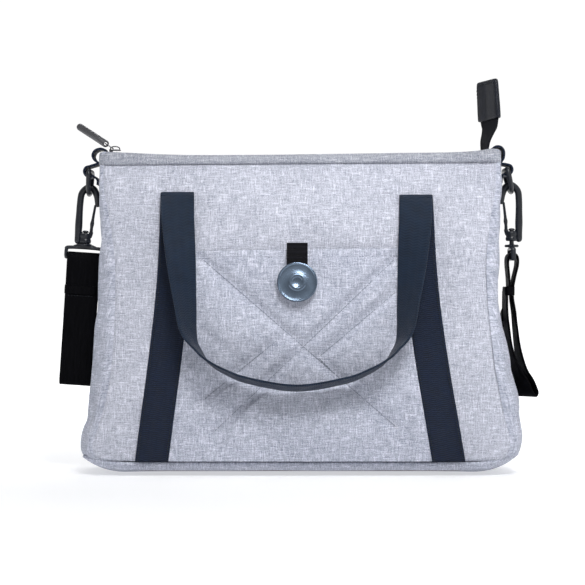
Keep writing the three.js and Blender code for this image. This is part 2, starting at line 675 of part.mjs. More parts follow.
for (const set of sideSets) {
  const { place, sign } = set;
  add(`side_tab_${place}`, sideTab(set), webbing);
  const ring = add(`d_ring_${place}`, dRing(), blackPlastic);
  ring.position.copy(set.bar);
  ring.rotation.y = THREE.MathUtils.degToRad(set.lean);
  const hook = new THREE.Group();
  hook.position.copy(set.collar);
  hook.rotation.y = THREE.MathUtils.degToRad(set.tilt);
  carryCase.add(hook);
  add(`hook_${place}`, hookBody(-sign), blackPlastic, hook);
  add(`hook_gate_${place}`, hookGate(-sign), blackPlastic, hook);
  const base = new THREE.Group();
  base.rotation.z = THREE.MathUtils.degToRad(set.baseTurn);
  base.position.z = -set.hang;
  hook.add(base);
  add(`hook_base_${place}`, hookBase(set.hang), blackPlastic, base);
  add(`strap_drop_${place}`, strapDrop(drops[place]), webbing, base);
  add(`strap_keeper_${place}`, strapKeeper(drops[place].shift), nylon, base);
}

// The rest of the strap runs round the back of the case.
const RUN_MIDDLE = 42;
const runDepth = faceDepth(0, RUN_MIDDLE) + 5.5;
const backRun = smooth([[-197, 9.6, 156], [-195, 21, 149], [-190, 40, 130], [-181, 62, 102],
  [-155, runDepth - 2, 74], [-112, runDepth, 52], [-66, runDepth, RUN_MIDDLE], [-33, runDepth, RUN_MIDDLE],
  [0, runDepth, RUN_MIDDLE], [33, runDepth, RUN_MIDDLE], [66, runDepth, RUN_MIDDLE], [112, runDepth, 52],
  [155, runDepth - 2, 74], [181, 62, 104], [188, 40, 134], [186, 27.8, 145], [185, 20.2, 148]]);
const runWidth = (t) => {
  const leaving = 1 - THREE.MathUtils.smoothstep(t, 0, 0.07);
  return v3(-Math.sin(leaving * Math.PI / 2), 0, Math.cos(leaving * Math.PI / 2));
};
add('strap_back_run', band(backRun, runWidth, WEB_WIDTH, WEB, 48), webbing);

function strapAdjuster() {
  const [halfZ, halfY, wall, x] = [WEB_WIDTH / 2 + GAP, WEB / 2 + GAP + 0.4, 3.4, 30];
  const tube = (grow, at) => [[-1, -1], [1, -1], [1, 1], [-1, 1]].map(([y, z]) => v3(
    at, runDepth + y * (halfY + grow * 0.6), RUN_MIDDLE + z * (halfZ + grow)));
  return loft([tube(wall, x - 12), tube(wall, x + 12), tube(0, x + 12), tube(0, x - 12)], true);
}
add('strap_adjuster', strapAdjuster(), blackPlastic);

export default carryCase;
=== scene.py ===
"""The looks of a padded tote-style carry case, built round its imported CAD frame.

Shapes are drawn in millimetres, in the frame's own axes, and become metres as each mesh is made.
"""
import json
import math

import bmesh
import bpy
import numpy as np
from mathutils import Matrix, Vector


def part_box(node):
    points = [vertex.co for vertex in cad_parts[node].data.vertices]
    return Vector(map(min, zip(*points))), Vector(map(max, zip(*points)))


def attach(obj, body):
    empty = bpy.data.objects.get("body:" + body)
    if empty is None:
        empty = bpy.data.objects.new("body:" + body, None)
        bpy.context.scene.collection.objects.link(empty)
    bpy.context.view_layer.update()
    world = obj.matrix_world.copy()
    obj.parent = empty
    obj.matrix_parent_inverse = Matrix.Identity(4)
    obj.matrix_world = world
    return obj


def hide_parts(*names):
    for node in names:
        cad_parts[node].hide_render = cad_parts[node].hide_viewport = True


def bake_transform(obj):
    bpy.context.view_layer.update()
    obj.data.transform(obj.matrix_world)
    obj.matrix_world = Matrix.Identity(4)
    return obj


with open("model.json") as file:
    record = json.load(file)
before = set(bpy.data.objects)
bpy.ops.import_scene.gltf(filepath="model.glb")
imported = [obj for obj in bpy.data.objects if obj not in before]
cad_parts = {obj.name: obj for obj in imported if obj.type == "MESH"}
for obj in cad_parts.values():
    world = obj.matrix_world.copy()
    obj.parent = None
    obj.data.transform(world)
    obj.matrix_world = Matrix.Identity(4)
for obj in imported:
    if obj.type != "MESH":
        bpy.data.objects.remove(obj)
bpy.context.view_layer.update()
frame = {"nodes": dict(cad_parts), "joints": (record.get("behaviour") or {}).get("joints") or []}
MM = 0.001
SEED = 7


# ---------- what the frame says ----------
def top_mm(node):
    """The height of a CAD node's highest point, in mm."""
    return (np.array(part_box(node)[1]) / MM)[2]


def joint_row(name):
    return next(row for row in frame["joints"] if row["name"] == name)


def pivot_mm(joint):
    return np.array(joint_row(joint)["pos_m"]) / MM


BODY_TOP = top_mm("front_band")
BAND_SEAM = top_mm("front_panel")
BASE_SEAM = top_mm("base_panel")
POCKET_TOP = top_mm("front_pocket")
HANDLE_FOLD = top_mm("webbing_front_left")
WEB_WIDTH = 29.5    # how wide the webbing is drawn
WEB = 2.0           # how thick the webbing is in the CAD
GAP = 0.4           # the space left between sewn pieces
SEWN_LIFT = GAP + WEB / 2 + 0.35    # from a panel's face to the middle of the webbing sewn on it
SIDES = ((-1, "left"), (1, "right"))
FACES = ((-1, "front"), (1, "back"))


# ---------- the case's outline: functions of height (z) or place across (x), in mm ----------
def profile(points):
    """A smooth function through a few [place, value] points."""
    at, value = np.array(points, float).T
    before = np.maximum(np.arange(len(at)) - 1, 0)
    after = np.minimum(np.arange(len(at)) + 1, len(at) - 1)
    slope = (value[after] - value[before]) / (at[after] - at[before])

    def read(z):
        z = np.clip(np.asarray(z, float), at[0], at[-1])
        i = np.clip(np.searchsorted(at, z) - 1, 0, len(at) - 2)
        h = at[i + 1] - at[i]
        t = (z - at[i]) / h
        rise = (value[i + 1] - value[i]) * (3 - 2 * t) * t * t
        return value[i] + rise + h * slope[i] * t * (1 - t) ** 2 - h * slope[i + 1] * t * t * (1 - t)

    return read


seam_half_width = profile([[12, 173], [17, 182], [26, 185], [64, 175], [105, 168.5],
                           [180, 165], [228, 171], [252, 176], [286, 177.5]])
side_half_width = profile([[4, 184], [12, 193], [22, 197], [54, 193], [105, 186.5],
                           [150, 181.5], [200, 179.5], [286, 178.5]])
seam_half_depth = profile([[12, 59], [40, 60], [120, 55], [190, 45], [240, 34], [273, 23], [286, 17.5]])
panel_crown = profile([[12, 4], [60, 9], [130, 10], [200, 8], [250, 5], [286, 1]])
gusset_crease = profile([[30, 0], [76, 6.5], [150, 7], [220, 6.5], [256, 0]])
strip_centre = profile([[12, 129.5], [48, 124], [83, 118.6], [118, 113.8], [153, 109.8],
                        [189, 107.2], [249, 105.3]])


def face_depth(x, z):
    """How far the front or back panel stands from the middle."""
    across = np.clip(np.abs(x) / seam_half_width(z), 0, 1)
    return seam_half_depth(z) + panel_crown(z) * (1 - across ** 2.6)


def side_reach(y, z, square=3.0):
    """How far out a side stands; a higher square makes its two ridges fuller."""
    across = np.clip(np.abs(y) / seam_half_depth(z), 0, 1)
    bulge = np.maximum(side_half_width(z) - seam_half_width(z), 0) * (1 - across ** square)
    dip = np.maximum(1 - (np.asarray(y) / 34) ** 2, 0) ** 2
    return seam_half_width(z) + bulge - gusset_crease(z) * dip


def pocket_side(z):
    """The pocket's half width: it ends at the webbing strips."""
    return strip_centre(z) - WEB_WIDTH / 2 - GAP


def pocket_depth(x, z):
    """How far the pocket's face stands from the middle, full below its slack top edge."""
    across = np.clip(1 - np.abs(x) / pocket_side(z), 0, 1)
    up = np.clip((z - 13) / (POCKET_TOP - 13), 0, 1)
    slack = 7 * np.sin(np.pi / 2 * across) ** 0.6 * np.sin(up * np.pi / 2) ** 0.8
    return face_depth(x, z) + GAP + slack + 2.5


# The strips and handles are sewn on a little to the left; the body drifts to the right low down;
# and the top edge sags between its ends.
strip_shift = profile([[12, 0.4], [120, -1.6], [249, -2.6]])
drift = profile([[0, 0.6], [20, 1.0], [36, 2.2], [63, 3.0], [110, 2.4], [160, 1.0], [200, 0.4], [286, 0.3]])
sag = profile([[-182, 0.9], [-160, -0.4], [-107, -2.6], [-40, -2.6], [20, -1.9], [90, -0.9],
               [135, -0.3], [158, 1.0], [171, 3.0], [182, 3.4]])


def band_seam(x):
    """The height of the seam under the top band, which climbs a little to the right."""
    return BAND_SEAM + 2.4 + 1.2 * np.clip(x / 172, -1, 1)


def lean(points):
    """Points shifted to the right by the body's drift."""
    points = np.array(points, float)
    points[:, 0] += drift(points[:, 2])
    return points


def smoothstep(value, low, high):
    """From 0 at low to 1 at high, level at both ends."""
    t = np.clip((np.asarray(value, float) - low) / (high - low), 0, 1)
    return t * t * (3 - 2 * t)


# ---------- mesh helpers ----------
def curve(points, per_span=8, closed=False):
    """Points on a Catmull-Rom curve through the given ones."""
    p = np.array(points, float)
    if closed:
        p = np.vstack([p[-1:], p, p[:2]])
    else:
        p = np.vstack([2 * p[0] - p[1], p, 2 * p[-1] - p[-2]])
    t = (np.arange(per_span) / per_span)[:, None]
    spans = []
    for a, b, c, d in zip(p, p[1:], p[2:], p[3:]):
        spans.append(0.5 * (2 * b + (c - a) * t + (2 * a - 5 * b + 4 * c - d) * t * t
                            + (3 * b - a - 3 * c + d) * t ** 3))
    line = np.vstack(spans)
    return line if closed else np.vstack([line, p[-2]])


def tangents(line, closed=False):
    if closed:
        along = np.roll(line, -1, 0) - np.roll(line, 1, 0)
    else:
        along = np.gradient(line, axis=0)
    return along / np.linalg.norm(along, axis=1)[:, None]


def run_along(line):
    """How far along a line each of its points lies."""
    return np.concatenate([[0], np.cumsum(np.linalg.norm(np.diff(line, axis=0), axis=1))])


def unit(v):
    return v / np.maximum(np.linalg.norm(v, axis=-1, keepdims=True), 1e-9)


def skin(rings, closed=False, caps=True):
    """(points, faces) of a body through rings that all have equally many points."""
    rings = np.array(rings, float)
    count, n = rings.shape[:2]
    faces = []
    for r in range(count if closed else count - 1):
        low, high = r * n, ((r + 1) % count) * n
        for k in range(n):
            j = (k + 1) % n
            faces.append((low + k, low + j, high + j, high + k))
    if caps and not closed:
        faces.append(tuple(range(n - 1, -1, -1)))
        faces.append(tuple(range((count - 1) * n, count * n)))
    return rings.reshape(-1, 3), faces


def merged(*parts):
    """Several (points, faces) parts as one."""
    points, faces, start = [], [], 0
    for p, f in parts:
        points.append(p)
        faces += [tuple(i + start for i in face) for face in f]
        start += len(p)
    return np.vstack(points), faces


def moved(part, matrix):
    """A (points, faces) part taken through a matrix."""
    points = np.asarray(part[0])
    m = np.array(matrix)
    return points @ m[:3, :3].T + m[:3, 3], part[1]


def placed(at, tilt=0.0, turn=0.0):
    """A frame at a point in mm, leaning about +Y and then turned about its own +Z."""
    m = Matrix.Rotation(tilt, 4, "Y") @ Matrix.Rotation(turn, 4, "Z")
    m.translation = Vector(at)
    return m


def add_object(name, data):
    """A new object in the scene that holds a mesh, a light or the camera."""
    made = bpy.data.objects.new(name, data)
    bpy.context.scene.collection.objects.link(made)
    return made


def make(name, part, material, body, replaces=None, uv=None):
    """A new piece from (points in mm, faces), in place of a CAD node if replaces names one.
"""
    points, faces = part
    mesh = bpy.data.meshes.new(name)
    mesh.from_pydata((np.asarray(points) * MM).tolist(), [], [tuple(f) for f in faces])
    if uv is not None:
        layer = mesh.uv_layers.new(name="Weave")
        corner = np.zeros(len(mesh.loops), int)
        mesh.loops.foreach_get("vertex_index", corner)
        layer.data.foreach_set("uv", np.asarray(uv, float)[corner].ravel())
    mesh.validate()
    outward(mesh)
    mesh.polygons.foreach_set("use_smooth", [True] * len(mesh.polygons))
    mesh.materials.append(material)
    piece = add_object(name, mesh)
    if body:
        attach(piece, body)
    if replaces:
        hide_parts(replaces)
    return piece


def outward(mesh):
    """Turns all of a mesh's faces to look outwards."""
    work = bmesh.new()
    work.from_mesh(mesh)
    bmesh.ops.recalc_face_normals(work, faces=work.faces)
    work.to_mesh(mesh)
    work.free()


def tube(line, radius, binormal, sides=16, closed=False, flat=1.0, dome=True):
    """A round or flattened bar along a line; flat is its size along the binormal over the rest."""
    line = np.asarray(line, float)
    along = tangents(line, closed)
    radius = np.broadcast_to(np.asarray(radius, float), (len(line),)).copy()
    out = unit(np.cross(along, np.broadcast_to(binormal, along.shape)))
    up = unit(np.cross(out, along))

    def domed(end, way):
        return [(line[end] + way * along[end] * radius[end] * math.sin(a), out[end], up[end],
                 radius[end] * max(math.cos(a), 0.02)) for a in np.linspace(0, np.pi / 2, 5)[1:]]

    stations = list(zip(line, out, up, radius))
    if dome and not closed:
        stations = domed(0, -1)[::-1] + stations + domed(-1, 1)
    turn = np.arange(sides) / sides * 2 * np.pi
    rings = [at + np.outer(np.cos(turn) * r, o) + np.outer(np.sin(turn) * r * flat, u)
             for at, o, u, r in stations]
    return skin(rings, closed)


def lathe(outline, sides=64):
    """A turned body about +Z through [radius, height] points, closed on itself or on the axis."""
    turn = np.arange(sides) / sides * 2 * np.pi
    rings = [np.stack([r * np.cos(turn), r * np.sin(turn), np.full(sides, z)], 1)
             for r, z in ([max(r, 0.01), z] for r, z in outline)]
    is_ring = tuple(outline[0]) == tuple(outline[-1])
    return skin(rings[:-1] if is_ring else rings, closed=is_ring)


def rounded_section(width, thickness, per_edge=5, across=10):
    """The outline of webbing cut across: flat faces with full round edges."""
    r = thickness / 2
    half = width / 2 - r
    top = [(x, r) for x in np.linspace(-half, half, across)]
    right = [(half + r * math.cos(a), r * math.sin(a))
             for a in np.linspace(math.pi / 2, -math.pi / 2, per_edge + 2)[1:-1]]
    bottom = [(-x, -r) for x, _ in top]
    left = [(-x, -y) for x, y in right]
    return np.array(top + right + bottom + left)


def webbing(line, side, thickness, width=WEB_WIDTH, across=10, level=False):
    """((points, faces), uv) of a strap along a line; side is the direction of its width.

    A level strap is cut level at its ends, however it leans."""
    line = np.asarray(line, float)
    side = np.broadcast_to(np.asarray(side, float), line.shape)
    along = tangents(line)
    square = side - (side * along).sum(1)[:, None] * along
    out = unit(np.cross(square, along))
    side = unit(side) if level else unit(square)
    section = rounded_section(width, thickness, across=across)
    rings = line[:, None] + section[None, :, :1] * side[:, None] + section[None, :, 1:] * out[:, None]
    run = run_along(line)
    uv = np.stack(np.broadcast_arrays(section[None, :, 0], run[:, None]), -1).reshape(-1, 2)
    return skin(rings), uv


def spread(length, step, edge):
    """Places from 0 to 1 along a length, closer together near both ends."""
    near = edge * np.array([0, 0.06, 0.22, 0.5, 0.8])
    inner = np.linspace(edge, length - edge, max(int((length - 2 * edge) / step), 2))
    return np.concatenate([near, inner, length - near[::-1]]) / length


def pad(face, us, vs):
    """((points, faces), (u, v) of each point, is it outside) of a pad over one grid.

    face(u, v, inner) gives the points of its outer face, or of its inner one."""
    u, v = np.meshgrid(us, vs)
    u, v = u.ravel(), v.ravel()
    points = np.vstack([face(u, v, False), face(u, v, True)])
    row, rows = len(us), len(vs)
    layer = row * rows
    index = np.arange(layer).reshape(rows, row)
    a, b = index[:-1, :-1].ravel(), index[:-1, 1:].ravel()
    c, d = index[1:, 1:].ravel(), index[1:, :-1].ravel()
    faces = np.vstack([np.stack([a, b, c, d], 1), np.stack([d, c, b, a], 1) + layer])
    rim = np.concatenate([index[0, :-1], index[:-1, -1], index[-1, :0:-1], index[:0:-1, 0]])
    after = np.roll(rim, -1)
    faces = np.vstack([faces, np.stack([after, rim, rim + layer, after + layer], 1)])
    outside = np.arange(2 * layer) < layer
    return (points, faces.tolist()), np.tile(np.stack([u, v], 1), (2, 1)), outside


def from_rim(u, v, width, height):
    """How far each place on a (u, v) grid lies from the grid's nearest edge."""
    return np.minimum(np.minimum(u, 1 - u) * width, np.minimum(v, 1 - v) * height)


def edge_round(u, v, width, height, radius):
    """How far a padded face drops at its rim, as a quarter circle of that radius."""
    t = np.clip(from_rim(u, v, width, height) / radius, 0, 1)
    return radius * (1 - np.sqrt(1 - (1 - t) ** 2))


def rumple(a, b, seed, size=70.0, height=1.0):
    """A gentle, repeatable unevenness over a surface, in mm."""
    random = np.random.default_rng(seed)
    total = np.zeros_like(a, float)
    for _ in range(9):
        angle, phase = random.uniform(0, 2 * np.pi, 2)
        wave = 2 * np.pi / (size * random.uniform(0.6, 1.8))
        total += np.sin((a * math.cos(angle) + b * math.sin(angle)) * wave + phase)
    return total * height / 3


def valley(a, b, lines, width, depth):
    """How far creases or sewn lines press a surface in; each is (a0, b0, a1, b1)."""
    total = np.zeros_like(a, float)
    for a0, b0, a1, b1 in lines:
        da, db = a1 - a0, b1 - b0
        t = ((a - a0) * da + (b - b0) * db) / (da * da + db * db)
        off = np.hypot(a - a0 - np.clip(t, 0, 1) * da, b - b0 - np.clip(t, 0, 1) * db)
        total = np.maximum(total, np.exp(-(off / width) ** 2))
    return total * depth


def stitches(name, line, material, body, normal, pitch=3.4, length=2.4, radius=0.32):
    """A row of thread stitches along a line, each one arched a little along the normal."""
    line = np.asarray(line, float)
    run = run_along(line)
    starts = np.arange(0.6, run[-1] - length, pitch)
    normal = np.asarray(normal, float)
    lift = np.sin(np.linspace(0, np.pi, 5))[:, None] * radius * 0.9
    parts = []
    for start in starts:
        at = start + np.linspace(0, length, 5)
        way = np.stack([np.interp(at, run, line[:, k]) for k in range(3)], -1)
        parts.append(tube(way + normal * lift, radius, binormal=normal, sides=6, dome=False))
    make(name, merged(*parts), material, body)


# ---------- materials ----------
class Surface:
    """A Principled material, with short ways to add nodes to it."""

    def __init__(self, name, color, rough, metal=0.0, **sockets):
        self.material = bpy.data.materials.new(name)
        self.material.use_nodes = True
        self.tree = self.material.node_tree
        self.shader = self.tree.nodes["Principled BSDF"]
        self.set("Base Color", (*color, 1.0))
        self.set("Roughness", rough)
        self.set("Metallic", metal)
        for key, value in sockets.items():
            self.set(key.replace("_", " "), value)

    def set(self, name, value):
        self.plug(self.shader.inputs[name], value)

    def plug(self, socket, value):
        if isinstance(value, bpy.types.NodeSocket):
            self.tree.links.new(value, socket)
        else:
            socket.default_value = value

    def node(self, kind, *inputs, **settings):
        made = self.tree.nodes.new("ShaderNode" + kind)
        for key, value in settings.items():
            setattr(made, key, value)
        for k, value in enumerate(inputs):
            self.plug(made.inputs[k], value)
        return made

    def math(self, operation, a, b=0.0):
        return self.node("Math", a, b, operation=operation).outputs[0]

    def weave(self):
        """The strap's or cloth's own (across, along) place, in mm."""
        return self.node("UVMap", uv_map="Weave").outputs[0]

    def place(self):
        """The place on the object, in mm."""
        at = self.node("TexCoord").outputs["Object"]
        return self.stretch(at, 1 / MM, 1 / MM, 1 / MM)

    def stretch(self, vector, x, y, z=1.0):
        return self.node("VectorMath", vector, (x, y, z), operation="MULTIPLY").outputs[0]

    def noise(self, vector, scale=1.0, detail=2.0, rough=0.5):
        made = self.node("TexNoise", vector)
        made.inputs["Scale"].default_value = scale
        made.inputs["Detail"].default_value = detail
        made.inputs["Roughness"].default_value = rough
        return made.outputs[0]

    def wave(self, value, pitch):
        """A sine of a length in mm, from 0 to 1."""
        turn = self.math("MULTIPLY", value, 2 * math.pi / pitch)
        return self.math("MULTIPLY_ADD", self.math("SINE", turn), 0.5)

    def ramp(self, value, *stops):
        made = self.node("ValToRGB", value)
        while len(made.color_ramp.elements) < len(stops):
            made.color_ramp.elements.new(0.5)
        for element, (at, color) in zip(made.color_ramp.elements, stops):
            element.position = at
            element.color = (*color, 1.0)
        return made.outputs[0]

    def scalar(self, value, low, high, to_low, to_high):
        """A value taken from one range to another."""
        made = self.node("MapRange", value)
        for key, number in zip(("From Min", "From Max", "To Min", "To Max"), (low, high, to_low, to_high)):
            made.inputs[key].default_value = number
        return made.outputs[0]

    def bump(self, height, distance, strength=1.0):
        """Bumps the surface; distance is in metres."""
        made = self.node("Bump")
        made.inputs["Distance"].default_value = distance
        made.inputs["Strength"].default_value = strength
        self.plug(made.inputs["Height"], height)
        self.set("Normal", made.outputs[0])


def heather(name, low, middle, high):
    """Melange cloth: a fine plain weave of unevenly dyed threads with slubs both ways."""
    s = Surface(name, middle, 0.92, Sheen_Weight=0.12, Sheen_Roughness=0.5, Specular_IOR_Level=0.15)
    at = s.weave()
    weft = s.noise(s.stretch(at, 0.11, 1.0), 1.0, 2.0, 0.65)
    warp = s.noise(s.stretch(at, 1.0, 0.11), 1.0, 2.0, 0.65)
    fine = s.noise(at, 0.95, 2.0, 0.8)
    patch = s.noise(at, 0.02, 3.0)
    threads = s.math("ADD", weft, warp)
    threads = s.math("ADD", threads, s.math("MULTIPLY", fine, 1.5))
    threads = s.math("ADD", threads, s.math("MULTIPLY", patch, 0.3))
    tone = s.scalar(threads, 1.45, 2.38, 0.0, 1.0)
    slubs = [s.scalar(s.noise(s.stretch(at, *thread), 1.0, 0.0), 0.66, 0.74, 0.0, 0.22)
             for thread in ((0.085, 0.62), (0.62, 0.085))]
    tone = s.math("ADD", tone, s.math("MAXIMUM", *slubs))
    s.set("Base Color", s.ramp(tone, (0.0, low), (0.5, middle), (1.0, high)))
    split = s.node("SeparateXYZ", at)
    over = s.math("MULTIPLY", s.wave(split.outputs[0], 0.85), s.wave(split.outputs[1], 0.85))
    s.bump(s.math("ADD", over, s.math("MULTIPLY", threads, 0.9)), 0.22 * MM, 0.8)
    return s.material


def ribbed(name, dark, light, pitch, rough=0.62, zigzag=1.0, height=0.00025, sheen=0.05, gloss=0.2):
    """Woven webbing or ribbon: ribs across it, in a shallow zigzag, with single threads in them."""
    s = Surface(name, dark, rough, Sheen_Weight=sheen, Sheen_Roughness=0.4, Specular_IOR_Level=gloss)
    at = s.weave()
    split = s.node("SeparateXYZ", at)
    across, along = split.outputs[0], split.outputs[1]
    chevron = s.math("MULTIPLY", s.math("PINGPONG", across, 4.2), zigzag / 4.2)
    ribs = s.wave(s.math("ADD", along, chevron), pitch)
    yarn = s.wave(across, 0.9)
    worn = s.noise(at, 0.09, 3.0)
    tone = s.math("ADD", s.math("MULTIPLY", ribs, 0.6), s.math("MULTIPLY", worn, 0.6))
    s.set("Base Color", s.ramp(tone, (0.15, dark), (0.95, light)))
    s.set("Roughness", s.scalar(worn, 0.3, 0.7, rough - 0.08, rough + 0.1))
    s.bump(s.math("ADD", ribs, s.math("MULTIPLY", yarn, 0.35)), height, 1.0)
    return s.material


def satin_strap(name):
    """Close-woven shoulder webbing with a smooth, slightly shiny face."""
    s = Surface(name, (0.002, 0.002, 0.003), 0.5, Specular_IOR_Level=0.03)
    at = s.weave()
    split = s.node("SeparateXYZ", at)
    lines = s.wave(split.outputs[0], 1.4)
    picks = s.wave(split.outputs[1], 0.8)
    worn = s.noise(s.stretch(at, 0.5, 0.05), 1.0, 3.0)
    s.set("Base Color", s.ramp(worn, (0.3, (0.0012, 0.0012, 0.0018)), (0.75, (0.003, 0.003, 0.0042))))
    s.set("Roughness", s.scalar(worn, 0.3, 0.7, 0.4, 0.55))
    s.bump(s.math("ADD", lines, s.math("MULTIPLY", picks, 0.6)), 0.00012, 0.8)
    return s.material


def plastic(name, color, rough):
    """Moulded plastic: a faint moulding texture, rubbed a little lighter on its edges."""
    s = Surface(name, color, rough, Specular_IOR_Level=0.45)
    at = s.place()
    grain = s.noise(at, 2.6, 3.0)
    cloud = s.noise(at, 0.12, 2.0)
    edge = s.node("NewGeometry").outputs["Pointiness"]
    rubbed = s.scalar(edge, 0.5, 0.62, 0.0, 0.35)
    tone = s.math("ADD", s.math("MULTIPLY", cloud, 0.25), rubbed)
    lighter = tuple(c * 2.2 + 0.003 for c in color)
    s.set("Base Color", s.ramp(tone, (0.05, color), (0.6, lighter)))
    s.set("Roughness", s.scalar(grain, 0.3, 0.7, rough - 0.05, rough + 0.1))
    s.bump(grain, 0.00005, 0.5)
    return s.material


def plated(name, color, rough):
    """Polished plating with fine handling marks."""
    s = Surface(name, color, rough, metal=1.0)
    at = s.place()
    marks = s.noise(s.stretch(at, 0.25, 3.0, 3.0), 1.0, 4.0)
    cloud = s.noise(at, 0.15, 2.0)
    s.set("Base Color", s.ramp(cloud, (0.3, tuple(c * 0.85 for c in color)), (0.7, color)))
    s.set("Roughness", s.scalar(marks, 0.35, 0.75, rough, rough + 0.09))
    s.bump(marks, 0.00001, 0.25)
    return s.material


def grained_leather(name):
    """Glossy black leather with pebble grain and creases."""
    s = Surface(name, (0.003, 0.004, 0.008), 0.3, Coat_Weight=0.15, Coat_Roughness=0.15,
                Specular_IOR_Level=0.2)
    at = s.place()
    cells = s.node("TexVoronoi", at, feature="DISTANCE_TO_EDGE")
    cells.inputs["Scale"].default_value = 1.1
    grain = s.scalar(cells.outputs[0], 0.0, 0.35, 0.0, 1.0)
    fold = s.noise(s.stretch(at, 0.3, 0.3, 0.08), 1.0, 4.0)
    s.set("Base Color", s.ramp(fold, (0.3, (0.003, 0.0035, 0.007)), (0.75, (0.010, 0.012, 0.020))))
    s.set("Roughness", s.scalar(grain, 0.0, 1.0, 0.45, 0.25))
    s.bump(s.math("ADD", grain, s.math("MULTIPLY", fold, 1.5)), 0.00012, 0.7)
    return s.material


def speckled(name, dark, light, scale, rough, height):
    """Foam, fibreboard or moulded nylon: a fine random surface."""
    s = Surface(name, dark, rough)
    at = s.place()
    cells = s.noise(at, scale, 4.0, 0.7)
    s.set("Base Color", s.ramp(cells, (0.3, dark), (0.7, light)))
    s.bump(cells, height, 0.8)
    return s.material


LIGHT = heather("heather_light_cloth", (0.22, 0.235, 0.29), (0.46, 0.475, 0.55), (0.74, 0.75, 0.83))
CLOTH = heather("heather_cloth", (0.195, 0.21, 0.265), (0.41, 0.432, 0.515), (0.73, 0.74, 0.83))
# Painted shade: a darker copy of the heather cloth for the top bands, which face up and would otherwise catch
# more light than the panels.
BAND_CLOTH_PAINTED_SHADE = heather("heather_band_cloth_painted_shade", (0.15, 0.16, 0.195), (0.32, 0.335, 0.385), (0.60, 0.61, 0.66))
WEBBING = ribbed("black_webbing", (0.002, 0.004, 0.010), (0.009, 0.018, 0.045), 1.8, 0.55, 1.0, 0.0004)
# Painted light: a copy of the black webbing for the handles, glossier and a little lighter in colour for the
# light that falls on their faces.
HANDLE_WEB_PAINTED_LIGHT = ribbed("black_handle_webbing_painted_light", (0.002, 0.004, 0.009), (0.011, 0.024, 0.050), 1.5, 0.42, 1.0,
                    0.00025, 0.03, 0.18)
GROSGRAIN = ribbed("black_grosgrain", (0.001, 0.001, 0.002), (0.004, 0.004, 0.007), 4.8, 0.3, 0.0, 0.0008,
                   0.0, 0.15)
STRAP = satin_strap("black_strap")
ZIP_CLOTH = ribbed("zip_cloth", (0.004, 0.004, 0.006), (0.012, 0.013, 0.017), 0.9, 0.75, 0.3, 0.0001,
                   0.0, 0.1)
LINING = ribbed("lining_cloth", (0.045, 0.048, 0.058), (0.09, 0.094, 0.105), 0.7, 0.8, 0.0, 0.00008, 0.1)
PLASTIC = plastic("black_plastic_satin", (0.003, 0.0045, 0.008), 0.3)
NYLON = speckled("moulded_nylon", (0.004, 0.004, 0.005), (0.012, 0.012, 0.014), 3.0, 0.5, 0.00004)
GUNMETAL = plated("gunmetal_plating", (0.17, 0.17, 0.18), 0.2)
CHROME = plated("bright_plating", (0.16, 0.21, 0.28), 0.16)
LEATHER = grained_leather("black_leather")
FOAM = speckled("foam_cells", (0.03, 0.03, 0.035), (0.10, 0.10, 0.11), 1.6, 0.95, 0.0003)
BOARD = speckled("fibreboard", (0.14, 0.12, 0.09), (0.26, 0.23, 0.18), 0.8, 0.9, 0.0001)
THREAD = ribbed("black_thread", (0.003, 0.004, 0.006), (0.010, 0.012, 0.017), 0.5, 0.5, 0.0, 0.00005)
# Grey thread for the quilting stitches: the stitches are real, and their dark grey is also painted shade for
# the grooves they lie in.
GREY_THREAD_AND_GROOVE_SHADE = speckled("grey_thread_and_groove_shade", (0.13, 0.14, 0.18), (0.24, 0.26, 0.31), 4.0, 0.8, 0.00005)


# ---------- camera, floor and light ----------
def camera():
    """A long lens at the photograph's viewing angle: level and straight in front."""
    data = bpy.data.cameras.new("camera")
    data.lens = 136.75
    data.sensor_width = 36.0
    data.clip_end = 40.0
    seen = add_object("camera", data)
    seen.location = (-0.0063, -2.0, 0.160)
    seen.rotation_euler = (math.pi / 2, 0.0, 0.0)
    bpy.context.scene.camera = seen


def floor():
    """A pale floor that glows more with distance, until it meets the white behind it."""
    mesh = bpy.data.meshes.new("floor")
    reach = 14.0
    level = -0.4 * MM
    corners = [(-reach, -reach, level), (reach, -reach, level), (reach, reach, level), (-reach, reach, level)]
    mesh.from_pydata(corners, [], [(0, 1, 2, 3)])
    s = Surface("pale_floor", (0.6, 0.605, 0.62), 0.6, Specular_IOR_Level=0.1, Emission_Color=(1, 1, 1, 1))
    far = s.node("VectorMath", s.node("TexCoord").outputs["Object"], operation="LENGTH").outputs["Value"]
    s.set("Emission Strength", s.scalar(far, 0.3, 1.6, 0.46, 0.97))
    mesh.materials.append(s.material)
    add_object("floor", mesh)


def softbox(name, place, aim, size, power, color=(1.0, 1.0, 1.0), cone=180):
    """A rectangular light aimed at a point; cone is how wide its light spreads, in degrees."""
    data = bpy.data.lights.new(name, "AREA")
    data.shape = "RECTANGLE"
    data.size, data.size_y = size
    data.energy = power
    data.spread = math.radians(cone)
    data.color = color
    light = add_object(name, data)
    light.location = place
    light.rotation_euler = (Vector(aim) - Vector(place)).to_track_quat("-Z", "Y").to_euler()


